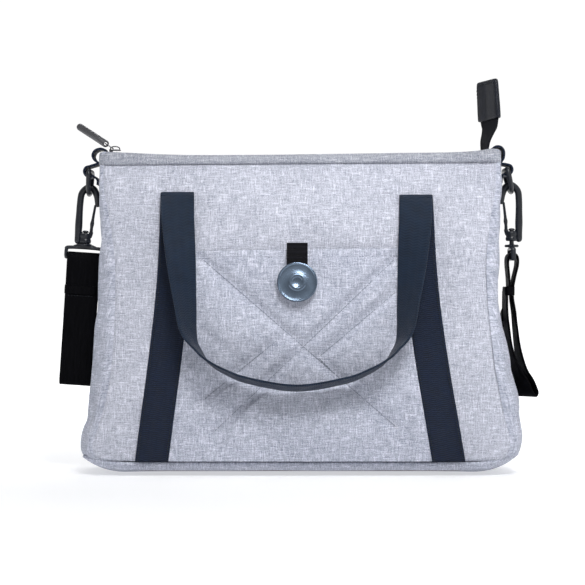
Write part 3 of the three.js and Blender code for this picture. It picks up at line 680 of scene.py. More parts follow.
def studio():
    """A dim pale room that the camera sees as plain white, and four softboxes."""
    world = bpy.data.worlds.new("studio")
    world.use_nodes = True
    nodes, link = world.node_tree.nodes, world.node_tree.links.new
    room = nodes["Background"]
    room.inputs["Color"].default_value = (0.97, 0.98, 1.0, 1.0)
    white = nodes.new("ShaderNodeBackground")
    white.inputs["Color"].default_value = (1.0, 1.0, 1.0, 1.0)
    white.inputs["Strength"].default_value = 1.02
    up = nodes.new("ShaderNodeSeparateXYZ")
    link(nodes.new("ShaderNodeTexCoord").outputs["Generated"], up.inputs[0])
    shade = nodes.new("ShaderNodeMapRange")
    for key, number in (("From Min", -0.1), ("To Min", 0.3), ("To Max", 0.7)):
        shade.inputs[key].default_value = number
    link(up.outputs["Z"], shade.inputs["Value"])
    link(shade.outputs[0], room.inputs["Strength"])
    mixed = nodes.new("ShaderNodeMixShader")
    link(nodes.new("ShaderNodeLightPath").outputs["Is Camera Ray"], mixed.inputs["Fac"])
    link(room.outputs[0], mixed.inputs[1])
    link(white.outputs[0], mixed.inputs[2])
    link(mixed.outputs[0], nodes["World Output"].inputs["Surface"])
    bpy.context.scene.world = world
    bpy.context.scene.view_settings.view_transform = "Standard"
    softbox("key", (0.22, -1.05, 1.08), (0.03, -0.04, 0.19), (0.5, 0.4), 0.93, cone=40)
    softbox("fill", (1.7, -0.6, 0.8), (0, 0, 0.15), (1.0, 1.0), 3.0, (0.95, 0.97, 1.0))
    softbox("back", (0.3, 1.4, 1.4), (0, 0, 0.2), (1.6, 0.9), 16.0)
    softbox("edge", (-1.9, 0.75, 0.35), (0, 0, 0.3), (0.25, 1.2), 1.5)


camera()
floor()
studio()


# ---------- padded body ----------
SEWN = []          # (piece, which points are held, pressure, cap in mm), simulated together
SEAM_TUCK = 1.3    # how far the panels and sides draw in where they are sewn together


def padded_piece(name, part, at, material, replaces, held, pressure, cap):
    """A piece that simulate() will puff up; at is each point's place on the cloth, in mm."""
    piece = make(name, part, material, "root", replaces, uv=at)
    SEWN.append((piece, held, pressure, cap))
    return piece


def panel(side, name, material, creases):
    """Front (side -1) or back (side 1) panel: foam-backed cloth, drawn in at its seams."""
    width, height = 350.0, BAND_SEAM - BASE_SEAM
    low = BASE_SEAM + 0.3
    rim_radius, thickness = 4.6, 8.4

    def at(u, v):
        x0 = (2 * u - 1) * seam_half_width(low + (BAND_SEAM - low) * v)
        z = low + (band_seam(x0) - low) * v
        x = (2 * u - 1) * (seam_half_width(z) - SEAM_TUCK)
        return x, z

    def face(u, v, inner):
        x, z = at(u, v)
        drop = edge_round(u, v, width, height, rim_radius)
        soft = np.clip(from_rim(u, v, width, height) / 25, 0, 1)
        out = face_depth(x, z) + 0.5 - drop + rumple(x, z, SEED + side, 95, 0.55) * soft
        depth = np.where(inner, face_depth(x, z) - thickness + np.minimum(drop, 3.0), out)
        return lean(np.stack([x, side * depth, z], 1))

    part, uv, outside = pad(face, spread(width, 4.6, 5.0), spread(height, 4.6, 5.0))
    x, z = at(*uv.T)
    rim = from_rim(*uv.T, width, height)
    beside = np.abs(np.abs(x) - strip_centre(z))
    covered = (beside < WEB_WIDTH / 2 + 3.5) & (z < HANDLE_FOLD + 2)
    if side < 0:
        covered |= (np.abs(x) < strip_centre(z)) & (z < POCKET_TOP + 2)
    held = ~outside | (rim < 5.5) | covered | (valley(x, z, creases, 5.0, 1.0) > 0.75)
    return padded_piece(name + "_padded", part, np.stack([x, z], 1), material, name, held,
                        pressure=2.2, cap=3.0)


# Creases in the panels, each one (x0, z0, x1, z1).
LEFT_PUCKERS = [(-168, 214, -148, 226), (-166, 232, -150, 238), (-170, 47, -140, 38), (-176, 40, -160, 46),
                (-166, 200, -152, 204)]
RIGHT_PUCKERS = [(150, 60, 172, 72), (146, 226, 164, 216)]
BACK_PUCKERS = [(-160, 60, -130, 72), (128, 200, 158, 214)]
front = panel(-1, "front_panel", LIGHT, LEFT_PUCKERS + RIGHT_PUCKERS)
panel(1, "back_panel", CLOTH, BACK_PUCKERS)

# How far the sides start inside their outline: to leave room for the puffing, and on the right
# for the strap, which swings against them.
puff_room = profile([[12, 3.0], [40, 2.7], [70, 2.0], [110, 1.7], [150, 1.4], [200, 0.3], [286, 0]])
strap_room = profile([[60, 0], [90, 1.8], [130, 3.2], [185, 3.0], [215, 1.0], [250, 0]])


def gusset(sign, name, square, extra):
    """A padded side. A higher square makes its ridges fuller, and extra widens it near the top."""
    low, high = BASE_SEAM + (4.6 if sign > 0 else 2.2), BODY_TOP + (2.4 if sign > 0 else 0.0)
    width, height = 100.0, high - low
    thickness = 6.5

    def at(u, v):
        z = low + height * v
        return (2 * u - 1) * (seam_half_depth(z) - SEAM_TUCK), z

    def face(u, v, inner):
        y, z = at(u, v)
        drop = edge_round(u, np.maximum(v, 0.5), width, height, 4.2)
        drop = drop + 1.2 * (1 - smoothstep(v * height, 0, 3))
        soft = np.clip(np.minimum(u, 1 - u) * width / 14, 0, 1)
        reach = side_reach(y, z, square) + extra * soft * smoothstep(z, 150, 200) - puff_room(z) * soft
        reach = reach - (strap_room(z) * soft if sign > 0 else 0)
        out = reach + 0.3 - drop + rumple(y, z, SEED + 5 + sign, 60, 0.7) * soft
        reach = np.where(inner, reach - thickness + np.minimum(drop, 2.4), out)
        return lean(np.stack([sign * reach, y, z], 1))

    part, uv, outside = pad(face, spread(width, 4.4, 4.0), spread(height, 4.6, 4.0))
    u, v = uv.T
    y, z = at(u, v)
    held = ~outside | (np.minimum(u, 1 - u) * width < 4.5) | (v > 0.9)
    padded_piece(name + "_padded", part, np.stack([y, z], 1), CLOTH, name, held,
                 pressure=2.0, cap=3.5)


gusset(-1, "gusset_left", 4.0, 0.0)
gusset(1, "gusset_right", 6.5, 1.6)

# Each sewn line is (x0, z0, x1, z1); a ridge of filling stands below each one.
QUILTING = [(-86.0, 190.0, 85.3, 41.9), (84.0, 190.0, -75.8, 37.6), (84.5, 161.0, 16.0, 103.5),
            (16.0, 103.5, 28.0, 92.0), (-16.5, 121.0, -84.0, 66.5)]
HEM = [(-100, POCKET_TOP - 10.5, 100, POCKET_TOP - 8.0)]
RIDGES = [(a + 3.0, b - 4.0, c + 3.0, d - 4.0) for a, b, c, d in QUILTING]


def pocket():
    """The quilted front pocket, with a hemmed top edge and sewn lines across it."""
    low, high = BASE_SEAM + 0.8, POCKET_TOP - 2.4
    width, height = 200.0, high - low

    def at(u, v):
        z = low + (high + 1.4 * (2 * u - 1) - low) * v
        return (2 * u - 1) * (pocket_side(z) + 3.0) + strip_shift(z), z

    def face(u, v, inner):
        x, z = at(u, v)
        out = pocket_depth(x, z) + 0.4
        side = np.minimum(u, 1 - u) * width
        out = out - 2.2 * (1 - np.clip(side / 6, 0, 1)) ** 2
        out = out - edge_round(np.full_like(u, 0.5), np.maximum(v, 0.5), width, height, 1.2)
        out = out - valley(x, z, QUILTING, 6.5, 4.2)
        out = out + rumple(x, z, SEED + 3, 60, 0.5) * np.clip(side / 30, 0, 1)
        back = pocket_depth(x, z) - 2.4
        return np.stack([x, -np.where(inner, np.minimum(back, out - 0.5), out), z], 1)

    part, uv, outside = pad(face, spread(width, 2.9, 3.0), spread(height, 2.9, 3.0))
    x, z = at(*uv.T)
    held = ~outside | (from_rim(*uv.T, width, height) < 4) | (valley(x, z, QUILTING, 3.0, 1.0) > 0.75)
    return padded_piece("front_pocket_quilted", part, np.stack([x, z], 1), CLOTH, "front_pocket",
                        held, pressure=4.0, cap=3.0)


quilted = pocket()


def outline_ring(half_x, half_y, radius, z):
    """A rounded rectangle as a ring of points, with points along its sides too."""
    per_corner, per_side = 14, 12

    def on_corner(corner, turn):
        sx, sy = [(1, 1), (-1, 1), (-1, -1), (1, -1)][corner % 4]
        return (sx * (half_x - radius) + math.cos(turn) * radius,
                sy * (half_y - radius) + math.sin(turn) * radius, z)

    ring = []
    for corner in range(4):
        ring += [on_corner(corner, (corner + k / per_corner) * math.pi / 2) for k in range(per_corner + 1)]
        ends = np.array(ring[-1])
        after = np.array(on_corner(corner + 1, (corner + 1) * math.pi / 2))
        ring += [tuple(ends + (after - ends) * k / per_side) for k in range(1, per_side)]
    return np.array(ring)


def base():
    """The base: a soft tray that rolls up to its seam, higher and rounder at the corners."""
    rim_x, rim_y = float(side_reach(0, BASE_SEAM)), float(seam_half_depth(BASE_SEAM))
    rolls = [(30, 9.0), (9, 9.4), (3.4, 10.4), (1.6, BASE_SEAM - 0.4), (0.7, BASE_SEAM - 0.3), (0.2, 10.8),
             (0.0, 9.6), (0.7, 7.8), (2.4, 6.2), (5.2, 4.9), (10, 3.8), (18, 2.7), (28, 1.7), (38, 0.8),
             (50, 0.2)]    # (inset, height) of each ring, from inside the seam round to the bottom
    widest = 6             # the ring that stands furthest out
    rings = [outline_ring(rim_x - inset, rim_y - inset, max(26 - inset * 0.4, 6), z) for inset, z in rolls]
    points, faces = skin(np.array(rings))
    ring = np.arange(len(points)) // len(rings[0])
    inset, front_z = np.array(rolls)[ring].T
    x, y, z = points.T
    rim_at = np.tile(rings[widest][:, 0], len(rings))
    end = smoothstep(np.abs(rim_at), 160, 191)
    rim_z = np.where(rim_at < 0, 14.5, 17.0)
    end_z = np.where(ring < widest, front_z + rim_z - 9.8, rim_z * np.clip(1 - inset / 37, 0, 1) ** 2.2)
    z = front_z + (end_z - front_z) * end
    wobble = np.abs(rumple(x, y, SEED + 9, 80, 0.3)) * np.clip(z / 3, 0, 1) * (ring > widest)
    points = np.stack([x, y, z + wobble], 1)
    slant = run_along(rolls)
    uv = np.stack([np.where(np.abs(points[:, 1]) > rim_y - 26, points[:, 0], points[:, 1]), slant[ring]], 1)
    piece = make("base_rolled", (lean(points), faces), CLOTH, "root", "base_panel", uv=uv)
    soften(piece, 1)


def soften(piece, levels):
    """Adds a subdivision surface."""
    smooth = piece.modifiers.new("smooth", "SUBSURF")
    smooth.levels = smooth.render_levels = levels


base()


def band(side, name, material):
    """The band along the top: from its seam up, over the edge and in to the zip."""
    xs = np.concatenate([[-179.4, -178.6, -177], np.linspace(-174, 174.5, 118), [177.4, 178.8, 179.6]])
    outer_face, top_edge = (3, 4, 5), (6, 7, 8)    # points of the section below
    rings = []
    for x in xs:
        seam, top = float(band_seam(x)), BODY_TOP + float(sag(x))
        wide = float(face_depth(x, 280.0))
        outer = float(face_depth(x, seam))
        end = 6.0 * float(smoothstep(abs(x), 168, 182)) ** 2
        section = [(outer - 3.0, seam - 0.8), (outer - 0.4, seam - 1.4), (outer + 2.0, seam - 0.4),
                   (outer + 2.9, seam + 2.2), (wide + 3.0, (seam + top) / 2 + 1.0), (19.0, top - 3.0),
                   (17.2, top - 1.0), (15.4, top - 0.2), (13.4, top - 0.6), (12.4, top - 1.8),
                   (13.6, top - 2.8), (outer - 4.4, seam - 0.6)]
        wobble = float(rumple(np.array([x]), np.array([0.0]), SEED + 20 + side, 50, 0.35)[0])
        ring = []
        for k, (depth, z) in enumerate(section):
            depth = depth - end * (depth > 12) + wobble * (k in outer_face)
            ring.append((x, side * depth, z - end * 0.25 * (k in top_edge)))
        rings.append(ring)
    points, faces = skin(np.array(rings))
    count = len(rings[0])
    run = np.tile(np.linspace(0, 34, count), len(xs))
    uv = np.stack([np.repeat(xs, count), BAND_SEAM + run], 1)
    piece = make(name + "_rolled", (lean(points), faces), material, "root", name, uv=uv)
    soften(piece, 1)


# Both bands take the darker heather: painted shade.
band(-1, "front_band", BAND_CLOTH_PAINTED_SHADE)
band(1, "back_band", BAND_CLOTH_PAINTED_SHADE)


FABRIC = dict(vertex_group_mass="held", quality=5, mass=0.3, tension_stiffness=20, compression_stiffness=20,
              bending_stiffness=1.2, shrink_min=-0.012, use_pressure=True)
LAST_FRAME = 20


def simulate():
    """Puffs every padded piece between its sewn places, all in one run of frames."""
    for piece, held, pressure, _ in SEWN:
        pins = piece.vertex_groups.new(name="held")
        pins.add(np.flatnonzero(held).tolist(), 1.0, "REPLACE")
        cloth = piece.modifiers.new("cloth", "CLOTH")
        for key, value in FABRIC.items():
            setattr(cloth.settings, key, value)
        cloth.settings.uniform_pressure_force = pressure
        cloth.settings.effector_weights.gravity = 0
        cloth.point_cache.frame_start = 1
        cloth.point_cache.frame_end = LAST_FRAME
    scene = bpy.context.scene
    for step in range(1, LAST_FRAME + 1):
        scene.frame_set(step)
    depsgraph = bpy.context.evaluated_depsgraph_get()
    for piece, _, _, cap in SEWN:
        done = piece.evaluated_get(depsgraph).to_mesh()
        before, after = coords(piece.data), coords(done)
        move = after - before
        size = np.linalg.norm(move, axis=1, keepdims=True)
        after = before + move * np.minimum(1, cap * MM / np.maximum(size, 1e-9))
        piece.evaluated_get(depsgraph).to_mesh_clear()
        piece.modifiers.remove(piece.modifiers["cloth"])
        piece.vertex_groups.clear()
        piece.data.vertices.foreach_set("co", after.ravel())
        piece.data.update()
    scene.frame_set(1)


def coords(mesh):
    """A mesh's points, in metres."""
    co = np.zeros(len(mesh.vertices) * 3)
    mesh.vertices.foreach_get("co", co)
    return co.reshape(-1, 3)


simulate()
for sewn, *_ in SEWN:
    soften(sewn, 2 if sewn is quilted else 1)


def refined(piece, shape):
    """Makes a piece's subdivided surface its mesh, and then shapes that with shape(points in mm)."""
    depsgraph = bpy.context.evaluated_depsgraph_get()
    mesh = bpy.data.meshes.new_from_object(piece.evaluated_get(depsgraph))
    piece.modifiers.clear()
    piece.data = mesh
    mesh.vertices.foreach_set("co", (shape(coords(mesh) / MM) * MM).ravel())
    mesh.update()


def sewn_lines(points):
    """Presses the narrow stitched grooves into the quilted pocket, and rolls its hem."""
    x, y, z = points.T
    outside = -y > pocket_depth(x, z) - 1.2
    groove = valley(x, z, QUILTING, 1.4, 1.7) - valley(x, z, RIDGES, 2.6, 1.0)
    hem = valley(x, z, HEM, 1.2, 0.6)
    points[:, 1] = y + np.where(outside, groove + hem, 0)
    return points


refined(quilted, sewn_lines)


def quilt_thread():
    """Rows of grey stitches lying in the pocket's sewn lines, on the cloth as it now stands. The stitches are
    real; their dark grey also paints shade into the grooves.
    """
    cloth = coords(quilted.data) / MM
    cloth = cloth[-cloth[:, 1] > pocket_depth(cloth[:, 0], cloth[:, 2]) - 4.0]
    for k, (x0, z0, x1, z1) in enumerate(QUILTING + HEM):
        count = int(math.hypot(x1 - x0, z1 - z0) / 1.2)
        t = np.linspace(0.01, 0.99, count)
        x, z = x0 + (x1 - x0) * t, z0 + (z1 - z0) * t
        inside = np.abs(x - strip_shift(z)) < pocket_side(z) - 1.5
        x, z = x[inside], z[inside]
        near = np.argmin((cloth[None, :, 0] - x[:, None]) ** 2 + (cloth[None, :, 2] - z[:, None]) ** 2, 1)
        y = np.convolve(np.pad(cloth[near, 1], 2, "edge"), np.full(5, 0.2), "valid")
        # The dark grey thread is real stitching and painted groove shade both.
        stitches(f"pocket_stitch_{k}", np.stack([x, y - 0.1, z], 1), GREY_THREAD_AND_GROOVE_SHADE, "root", (0, -1, 0),
                 2.9, 2.1, 0.3)


quilt_thread()


def puckers(points):
    """Presses the creases into the front panel."""
    x, y, z = points.T
    outside = -y > face_depth(x, z) - 3.0
    points[:, 1] = y + np.where(outside, valley(x, z, LEFT_PUCKERS + RIGHT_PUCKERS, 2.2, 0.8), 0)
    return points


refined(front, puckers)


# ---------- webbing strips and handles ----------
def strip(side, sign, name):
    """One webbing strip, sewn up a panel, and a row of stitches near each of its edges."""
    z = np.linspace(BASE_SEAM + 0.4, HANDLE_FOLD - (4.9 if sign > 0 else 2.6), 90)
    x = sign * strip_centre(z) + strip_shift(z)

    def edge(shift):
        return np.stack([x + shift, side * (face_depth(x + shift, z) + SEWN_LIFT), z], 1)

    part, uv = webbing(edge(0), edge(WEB_WIDTH / 2) - edge(-WEB_WIDTH / 2), thickness=1.9, level=True)
    make(name + "_woven", part, WEBBING, "root", name, uv=uv)
    seam = WEB_WIDTH / 2 - 2.2
    for shift, mark in ((-seam, "a"), (seam, "b")):
        line = edge(shift) + np.array([0, side * 1.05, 0])
        stitches(f"{name}_stitch_{mark}", line, THREAD, "root", (0, side, 0))


def handle(side, name):
    """A handle and its folds, as one piece."""
    fold_half = float(strip_centre(HANDLE_FOLD))
    fold_face = float(face_depth(fold_half, HANDLE_FOLD))
    fold_depth = fold_face + GAP + WEB + 2 * GAP
    slope = math.atan2(float(face_depth(100, 150)) + WEB + 3 - fold_depth, HANDLE_FOLD - 150)
    # Each row of a leg is (inwards, down, out from the panel, how far the webbing has turned).
    leg = [[0, 0.6, 1.2, 0], [1, 25, 7, 14], [3.5, 55, 11.5, 27], [6, 82, 13.5, 40],
           [8.5, 104, 14.5, 51], [12, 132, 15, 64], [20.5, 147, 14, 76], [29, 156.5, 13, 82],
           [43, 165, 12.5, 86], [64, 173, 12, 89]]
    drop = 179.5
    fold_shift = float(strip_shift(HANDLE_FOLD))

    def place(sign, inward, down, off):
        return (sign * (fold_half - inward) + fold_shift,
                side * (fold_depth + down * math.sin(slope) + off * math.cos(slope)),
                HANDLE_FOLD - down * math.cos(slope) + off * math.sin(slope))

    bottom = place(1, fold_half, drop, 12)
    rows = [place(-1, *row[:3]) for row in leg] + [bottom] + [place(1, *row[:3]) for row in reversed(leg)]
    line = curve(rows, 10)
    index = np.linspace(0, 2 * len(leg), len(line))
    angle = np.radians(profile([[i, row[3]] for i, row in enumerate(leg)] + [[len(leg), 90]])(
        np.minimum(index, 2 * len(leg) - index)))
    outward_way = np.array([0, side * math.cos(slope), math.sin(slope)])
    inward = np.where(index < len(leg), 1.0, -1.0)
    across = np.stack([inward * np.cos(angle), 0 * angle, 0.05 * np.sin(angle)], 1)
    width = across - outward_way * np.sin(angle)[:, None]
    width = width * inward[:, None]
    sewn = fold_face + SEWN_LIFT
    rise = [(sewn + 0.1, -12.0), (sewn + 0.1, -5.6), (sewn + 0.15, -3.2), (sewn + 0.6, -1.7),
            (sewn + 1.6, -1.2), (sewn + 2.5, -1.9)]

    def fold(sign):
        """The fold at the top of one strip; the right one is sewn a little lower."""
        lower = 2.3 if sign > 0 else 0.0
        points = [(sign * fold_half + fold_shift, side * d, HANDLE_FOLD + z - lower) for d, z in rise]
        points.append(place(sign, 0, 5.0 + lower, 2.1 + lower * 0.25))
        return curve(points, 5)[:-1]

    start, end = fold(-1), fold(1)[::-1]
    skipped = 4    # the line's first and last points, which the folds take the place of
    path = np.vstack([start, line[skipped:-skipped], end])
    flat = np.tile([1.0, 0, 0], (len(start), 1))
    side_way = np.vstack([flat, width[skipped:-skipped], flat])
    flip = np.sign((side_way[1:] * side_way[:-1]).sum(1))
    side_way[1:] *= np.cumprod(np.where(flip < 0, -1, 1))[:, None]
    part, uv = webbing(path, side_way, thickness=1.9)
    # The handle's lighter webbing colour is painted light.
    piece = make(name + "_woven", part, HANDLE_WEB_PAINTED_LIGHT, None, name, uv=uv)
    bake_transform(piece)


for side, place in FACES:
    for sign, hand in SIDES:
        strip(side, sign, f"webbing_{place}_{hand}")
    handle(side, f"handle_{place}")


# ---------- medallion on its ribbon tab ----------
def charm():
    """The ribbon tab round its bar, and the medallion that tilts on that bar."""
    top = pivot_mm("charm_ribbon_lift")
    rod_at = pivot_mm("charm_tilt")
    hang = top - rod_at
    length = float(np.linalg.norm(hang))
    slope = math.atan2(-hang[1], hang[2])
    hanging = Matrix.Rotation(slope, 4, "X")
    hanging.translation = Vector(rod_at)
    rod = 1.2
    eye, width = 2.35, 18.3
    places = [(3.0, length - 4.4), (1.4, length + 0.5), (-1.0, length + 0.2), (-1.55, length - 3),
              (-1.3, length * 0.5), (-1.5, 4.5), (-eye, 1), (-eye * 0.7, -eye * 0.7), (0, -eye),
              (eye * 0.7, -eye * 0.7), (eye * 0.95, 0.8), (1.0, 4.2), (0.15, length * 0.5), (0.3, length - 4)]
    loop = curve([(0, y, z) for y, z in places], 8)
    part, uv = webbing(loop, (1, 0, 0), width=width, thickness=1.1)
    make("charm_ribbon_woven", moved(part, hanging), GROSGRAIN, "charm_ribbon", "charm_ribbon",
         uv=uv)
    radius, back, drop = 17.5, -(rod + 2.2), 34.5 - length
    disc = lathe([[0, 0], [radius - 1.2, 0], [radius - 0.3, 0.35], [radius, 1.0], [radius, 2.4],
                  [radius - 0.3, 2.9], [radius - 0.9, 3.1], [radius - 1.5, 2.9], [radius - 1.8, 2.55],
                  [radius - 2.2, 2.5], [8.2, 2.62], [7.8, 2.7], [7.4, 3.1], [7.0, 3.2], [5.0, 3.2],
                  [4.6, 3.1], [4.3, 2.7], [4.0, 2.6], [0, 2.6]], 120)
    disc = moved(disc, Matrix.Translation((0, back, -drop)) @ Matrix.Rotation(math.pi / 2, 4, "X"))
    bar = tube(np.linspace((-10.2, 0, 0), (10.2, 0, 0), 12), 1.15, binormal=(0, 0, 1), sides=20)
    lugs = [tube(np.linspace((x, back + 0.6, -1.5), (x, 0.2, 0.0), 8), 1.25, binormal=(1, 0, 0), sides=14)
            for x in (-10.4, 10.4)]
    make("charm_medallion_polished", moved(merged(disc, bar, *lugs), hanging), CHROME, "charm_medallion",
         "charm_medallion")


charm()


# ---------- zip ----------
def zip_line():
    """The zip's two tapes and coils, sagging a little with the soft top edge."""
    for side, place in FACES:
        xs = np.linspace(-172, 172, 90)
        level = BODY_TOP - 1.9 + sag(xs)
        line = np.stack([xs, np.full_like(xs, side * 9.0), level], 1)
        part, uv = webbing(line, (0, 1, 0), width=11.0, thickness=0.7, across=6)
        make(f"zip_tape_{place}_woven", part, ZIP_CLOTH, "root", f"zip_tape_{place}", uv=uv)
        length, pitch = 327, 1.7
        turns = length / pitch
        t = np.linspace(0, turns, int(turns * 9))
        x = -166 + t * pitch
        coil = np.stack([x, side * (2.3 + 1.0 * np.cos(t * 2 * np.pi)),
                         BODY_TOP - 1.0 + sag(x) + 0.8 * np.sin(t * 2 * np.pi)], 1)
        make(f"zip_coil_{place}_wound", tube(coil, 0.36, binormal=(0.9, 0.1, 0.42), sides=6, dome=False),
             NYLON, "root", f"zip_coil_{place}")


zip_line()


def bevelled(node, name, width, material, body, angle=28):
    """A CAD node's own shape with its edges rounded, as a new piece."""
    mesh = frame["nodes"][node].data.copy()
    work = bmesh.new()
    work.from_mesh(mesh)
    bmesh.ops.remove_doubles(work, verts=work.verts, dist=1e-6)
    bmesh.ops.dissolve_limit(work, angle_limit=math.radians(3), verts=work.verts, edges=work.edges)
    work.to_mesh(mesh)
    work.free()
    mesh.name = name
    mesh.materials.clear()
    mesh.materials.append(material)
    mesh.polygons.foreach_set("use_smooth", [True] * len(mesh.polygons))
    piece = add_object(name, mesh)
    edges = piece.modifiers.new("edges", "BEVEL")
    edges.width = width * MM
    edges.segments = 3
    edges.limit_method = "ANGLE"
    edges.angle_limit = math.radians(angle)
    edges.use_clamp_overlap = True
    edges.harden_normals = False
    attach(piece, body)
    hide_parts(node)


bevelled("zip_slider", "zip_slider_cast", 0.4, GUNMETAL, "zip_slider")
bevelled("zip_pull", "zip_pull_cast", 0.45, GUNMETAL, "zip_pull")


def zip_link():
    """The wire loop between the slider and the pull."""
    at = pivot_mm("zip_pull_flip")
    loop = curve([[0, 0, 2.6], [-3.2, 0, 2.8], [-6.8, 0, 2.2], [-7.9, 0, 0], [-6.8, 0, -2.2],
                  [-3.2, 0, -2.8], [0, 0, -2.6], [0.6, 0, 0]], 10, True)
    wire = tube(loop, 0.52, binormal=(0, 1, 0), sides=12, closed=True)
    hanging = (Matrix.Translation(at) @ Matrix.Rotation(math.radians(33), 4, "Y")
               @ Matrix.Rotation(math.pi / 2, 4, "X"))
    make("zip_link_wire", moved(wire, hanging), GUNMETAL, "zip_pull", "zip_link")


zip_link()


def zip_tail():
    """The zip's free end: cloth tape, folded into a stitched leather tab."""
    foot = 166.5
    line = curve([[foot, 0, 286.6], [foot + 0.8, 0, 296], [foot + 3.2, 0, 304],
                  [foot + 4.4, 0, 309], [foot + 4.4, 0, 316]], 8)
    twist = np.radians(np.linspace(8, 34, len(line)))
    width = np.stack([np.sin(twist), -np.cos(twist), 0 * twist], 1)
    part, uv = webbing(line, width, width=25.5, thickness=1.5)
    make("zip_tail_tape_woven", part, ZIP_CLOTH, "zip_tail", "zip_tail_tape", uv=uv)
    upright = (Matrix.Translation((foot + 4.4, 0, 315)) @ Matrix.Rotation(math.radians(34 - 90), 4, "Z")
               @ Matrix.Rotation(math.radians(-5), 4, "Y"))
    # Each row of the tab is (height, half width, half thickness).
    rows = [(0.0, 14.2, 1.9), (0.4, 14.8, 2.4), (2, 15, 2.5), (8, 15, 2.6), (16, 14.8, 2.5), (24, 14.6, 2.3),
            (30, 14.4, 2.3), (33.5, 14.2, 2.4), (35.6, 13.6, 1.9), (36.4, 12.6, 0.9)]
    rings = []
    for z, half, thick in rows:
        section = rounded_section(2 * half, 2 * thick, per_edge=7, across=14)
        pinch = 1 - 0.16 * np.exp(-(section[:, 0] / 6) ** 2)
        rings.append(np.stack([section[:, 0], section[:, 1] * pinch, np.full(len(section), z)], 1))
    tab = make("zip_tail_tab_leather", moved(skin(rings), upright), LEATHER, "zip_tail",
               "zip_tail_tab")
    soften(tab, 1)
    seam = np.array([(-12.6, -2.25, 2.5), (-12.6, -2.3, 30), (-10.5, -2.3, 32.8), (10.5, -2.3, 32.8),
                     (12.6, -2.3, 30), (12.6, -2.25, 2.5)])
    line = moved((seam, []), upright)[0]
    normal = np.array(upright.to_3x3() @ Vector((0, -1, 0)))
    stitches("zip_tail_tab_stitch", line, THREAD, "zip_tail", normal, pitch=3.0, length=2.1, radius=0.28)


zip_tail()


# ---------- side tabs, D-rings and snap hooks ----------
def side_tab(sign, bar, corner, name):
    """Webbing from the top corner, round the D-ring's bar and back to the side; (x, z) points."""
    bar_x, bar_z = abs(bar[0]), bar[2]
    sewn = float(side_reach(0, 276)) + 1.6
    points = [*corner, [sewn, 275.8],
              [bar_x - 1.2, bar_z + 5], [bar_x + 3.2, bar_z + 3.6], [bar_x + 4.8, bar_z],
              [bar_x + 3.2, bar_z - 3.6], [bar_x, bar_z - 4.8], [bar_x - 3.2, bar_z - 4.2],
              [sewn + 0.7, bar_z - 7.5], [sewn + 0.4, bar_z - 12]]
    line = curve([(sign * x, 0, z) for x, z in points], 8)
    part, uv = webbing(line, (0, 1, 0), thickness=1.8)
    make(name + "_woven", part, WEBBING, "root", name, uv=uv)


def d_ring(bar, tilt, name, body):
    """A D-ring hanging from its bar; (y, z) points."""
    half = 18.4
    points = [[-15.5, 0], [0, 0], [15.5, 0], [half, -2.4], [half - 0.6, -7], [14.5, -13.5], [8, -18.6],
              [0, -20], [-8, -18.6], [-14.5, -13.5], [0.6 - half, -7], [-half, -2.4]]
    line = curve([(0, y, z) for y, z in points], 10, True)
    ring = tube(line, 2.25, binormal=(1, 0, 0), sides=20, closed=True, flat=0.94)
    make(name + "_moulded", moved(ring, placed(bar, tilt)), PLASTIC, body, name)


def snap_hook(hand, toward, collar, tilt):
    """The hook's arm and swivel collar, and its spring gate; the nose points towards the case."""
    at = placed(collar, tilt)
    arm = curve([[-6.5, 0, -7], [-6.5, 0, 4], [-6.6, 0, 16], [-6.5, 0, 28], [-5.3, 0, 36.2],
                 [0, 0, 41.4], [5.2, 0, 39.6], [8.2, 0, 33.4], [9.2, 0, 26.4]], 10)
    t = np.linspace(0, 1, len(arm))
    radius = 3.0 - 0.7 * np.clip((t - 0.75) / 0.25, 0, 1) ** 2 + 0.35 * np.exp(-((t - 0.16) / 0.08) ** 2)
    arm[:, 0] *= toward
    sleeve = lathe([[2.4, -9], [4.6, -9], [5.2, -8.5], [5.4, -7.6], [5.4, -6.0], [5.0, -5.4], [5.0, -4.0],
                    [5.4, -3.4], [5.4, -1.4], [5.1, -0.5], [4.4, 0], [2.4, 0], [2.4, -9]], 48)
    web = tube([(-5.2 * toward, 0, -7.5), (-3.2 * toward, 0, -4.5), (-4.6 * toward, 0, 0)], 1.9,
               binormal=(0, 1, 0), sides=16)
    seat = tube([(4.2 * toward, 0, -2.5), (5.0 * toward, 0, 0.6)], 1.9, binormal=(0, 1, 0), sides=16)
    hook = merged(tube(arm, radius, binormal=(0, 1, 0), sides=22), sleeve, web, seat)
    make(f"hook_{hand}_moulded", moved(hook, at), PLASTIC, f"hook_{hand}", f"hook_{hand}")
    lever = curve([[5, 0, 0.5], [5.2, 0, 6], [6, 0, 15], [7.2, 0, 25.2]], 12)
    lever[:, 0] *= toward
    t = np.linspace(0, 1, len(lever))
    thick = 1.5 - 0.4 * t + 0.5 * np.exp(-((t - 0.45) / 0.09) ** 2)
    gate = tube(lever, thick, binormal=(0, 1, 0), sides=18, flat=1.25)
    make(f"hook_gate_{hand}_moulded", moved(gate, at), PLASTIC, f"gate_{hand}",
         f"hook_gate_{hand}")


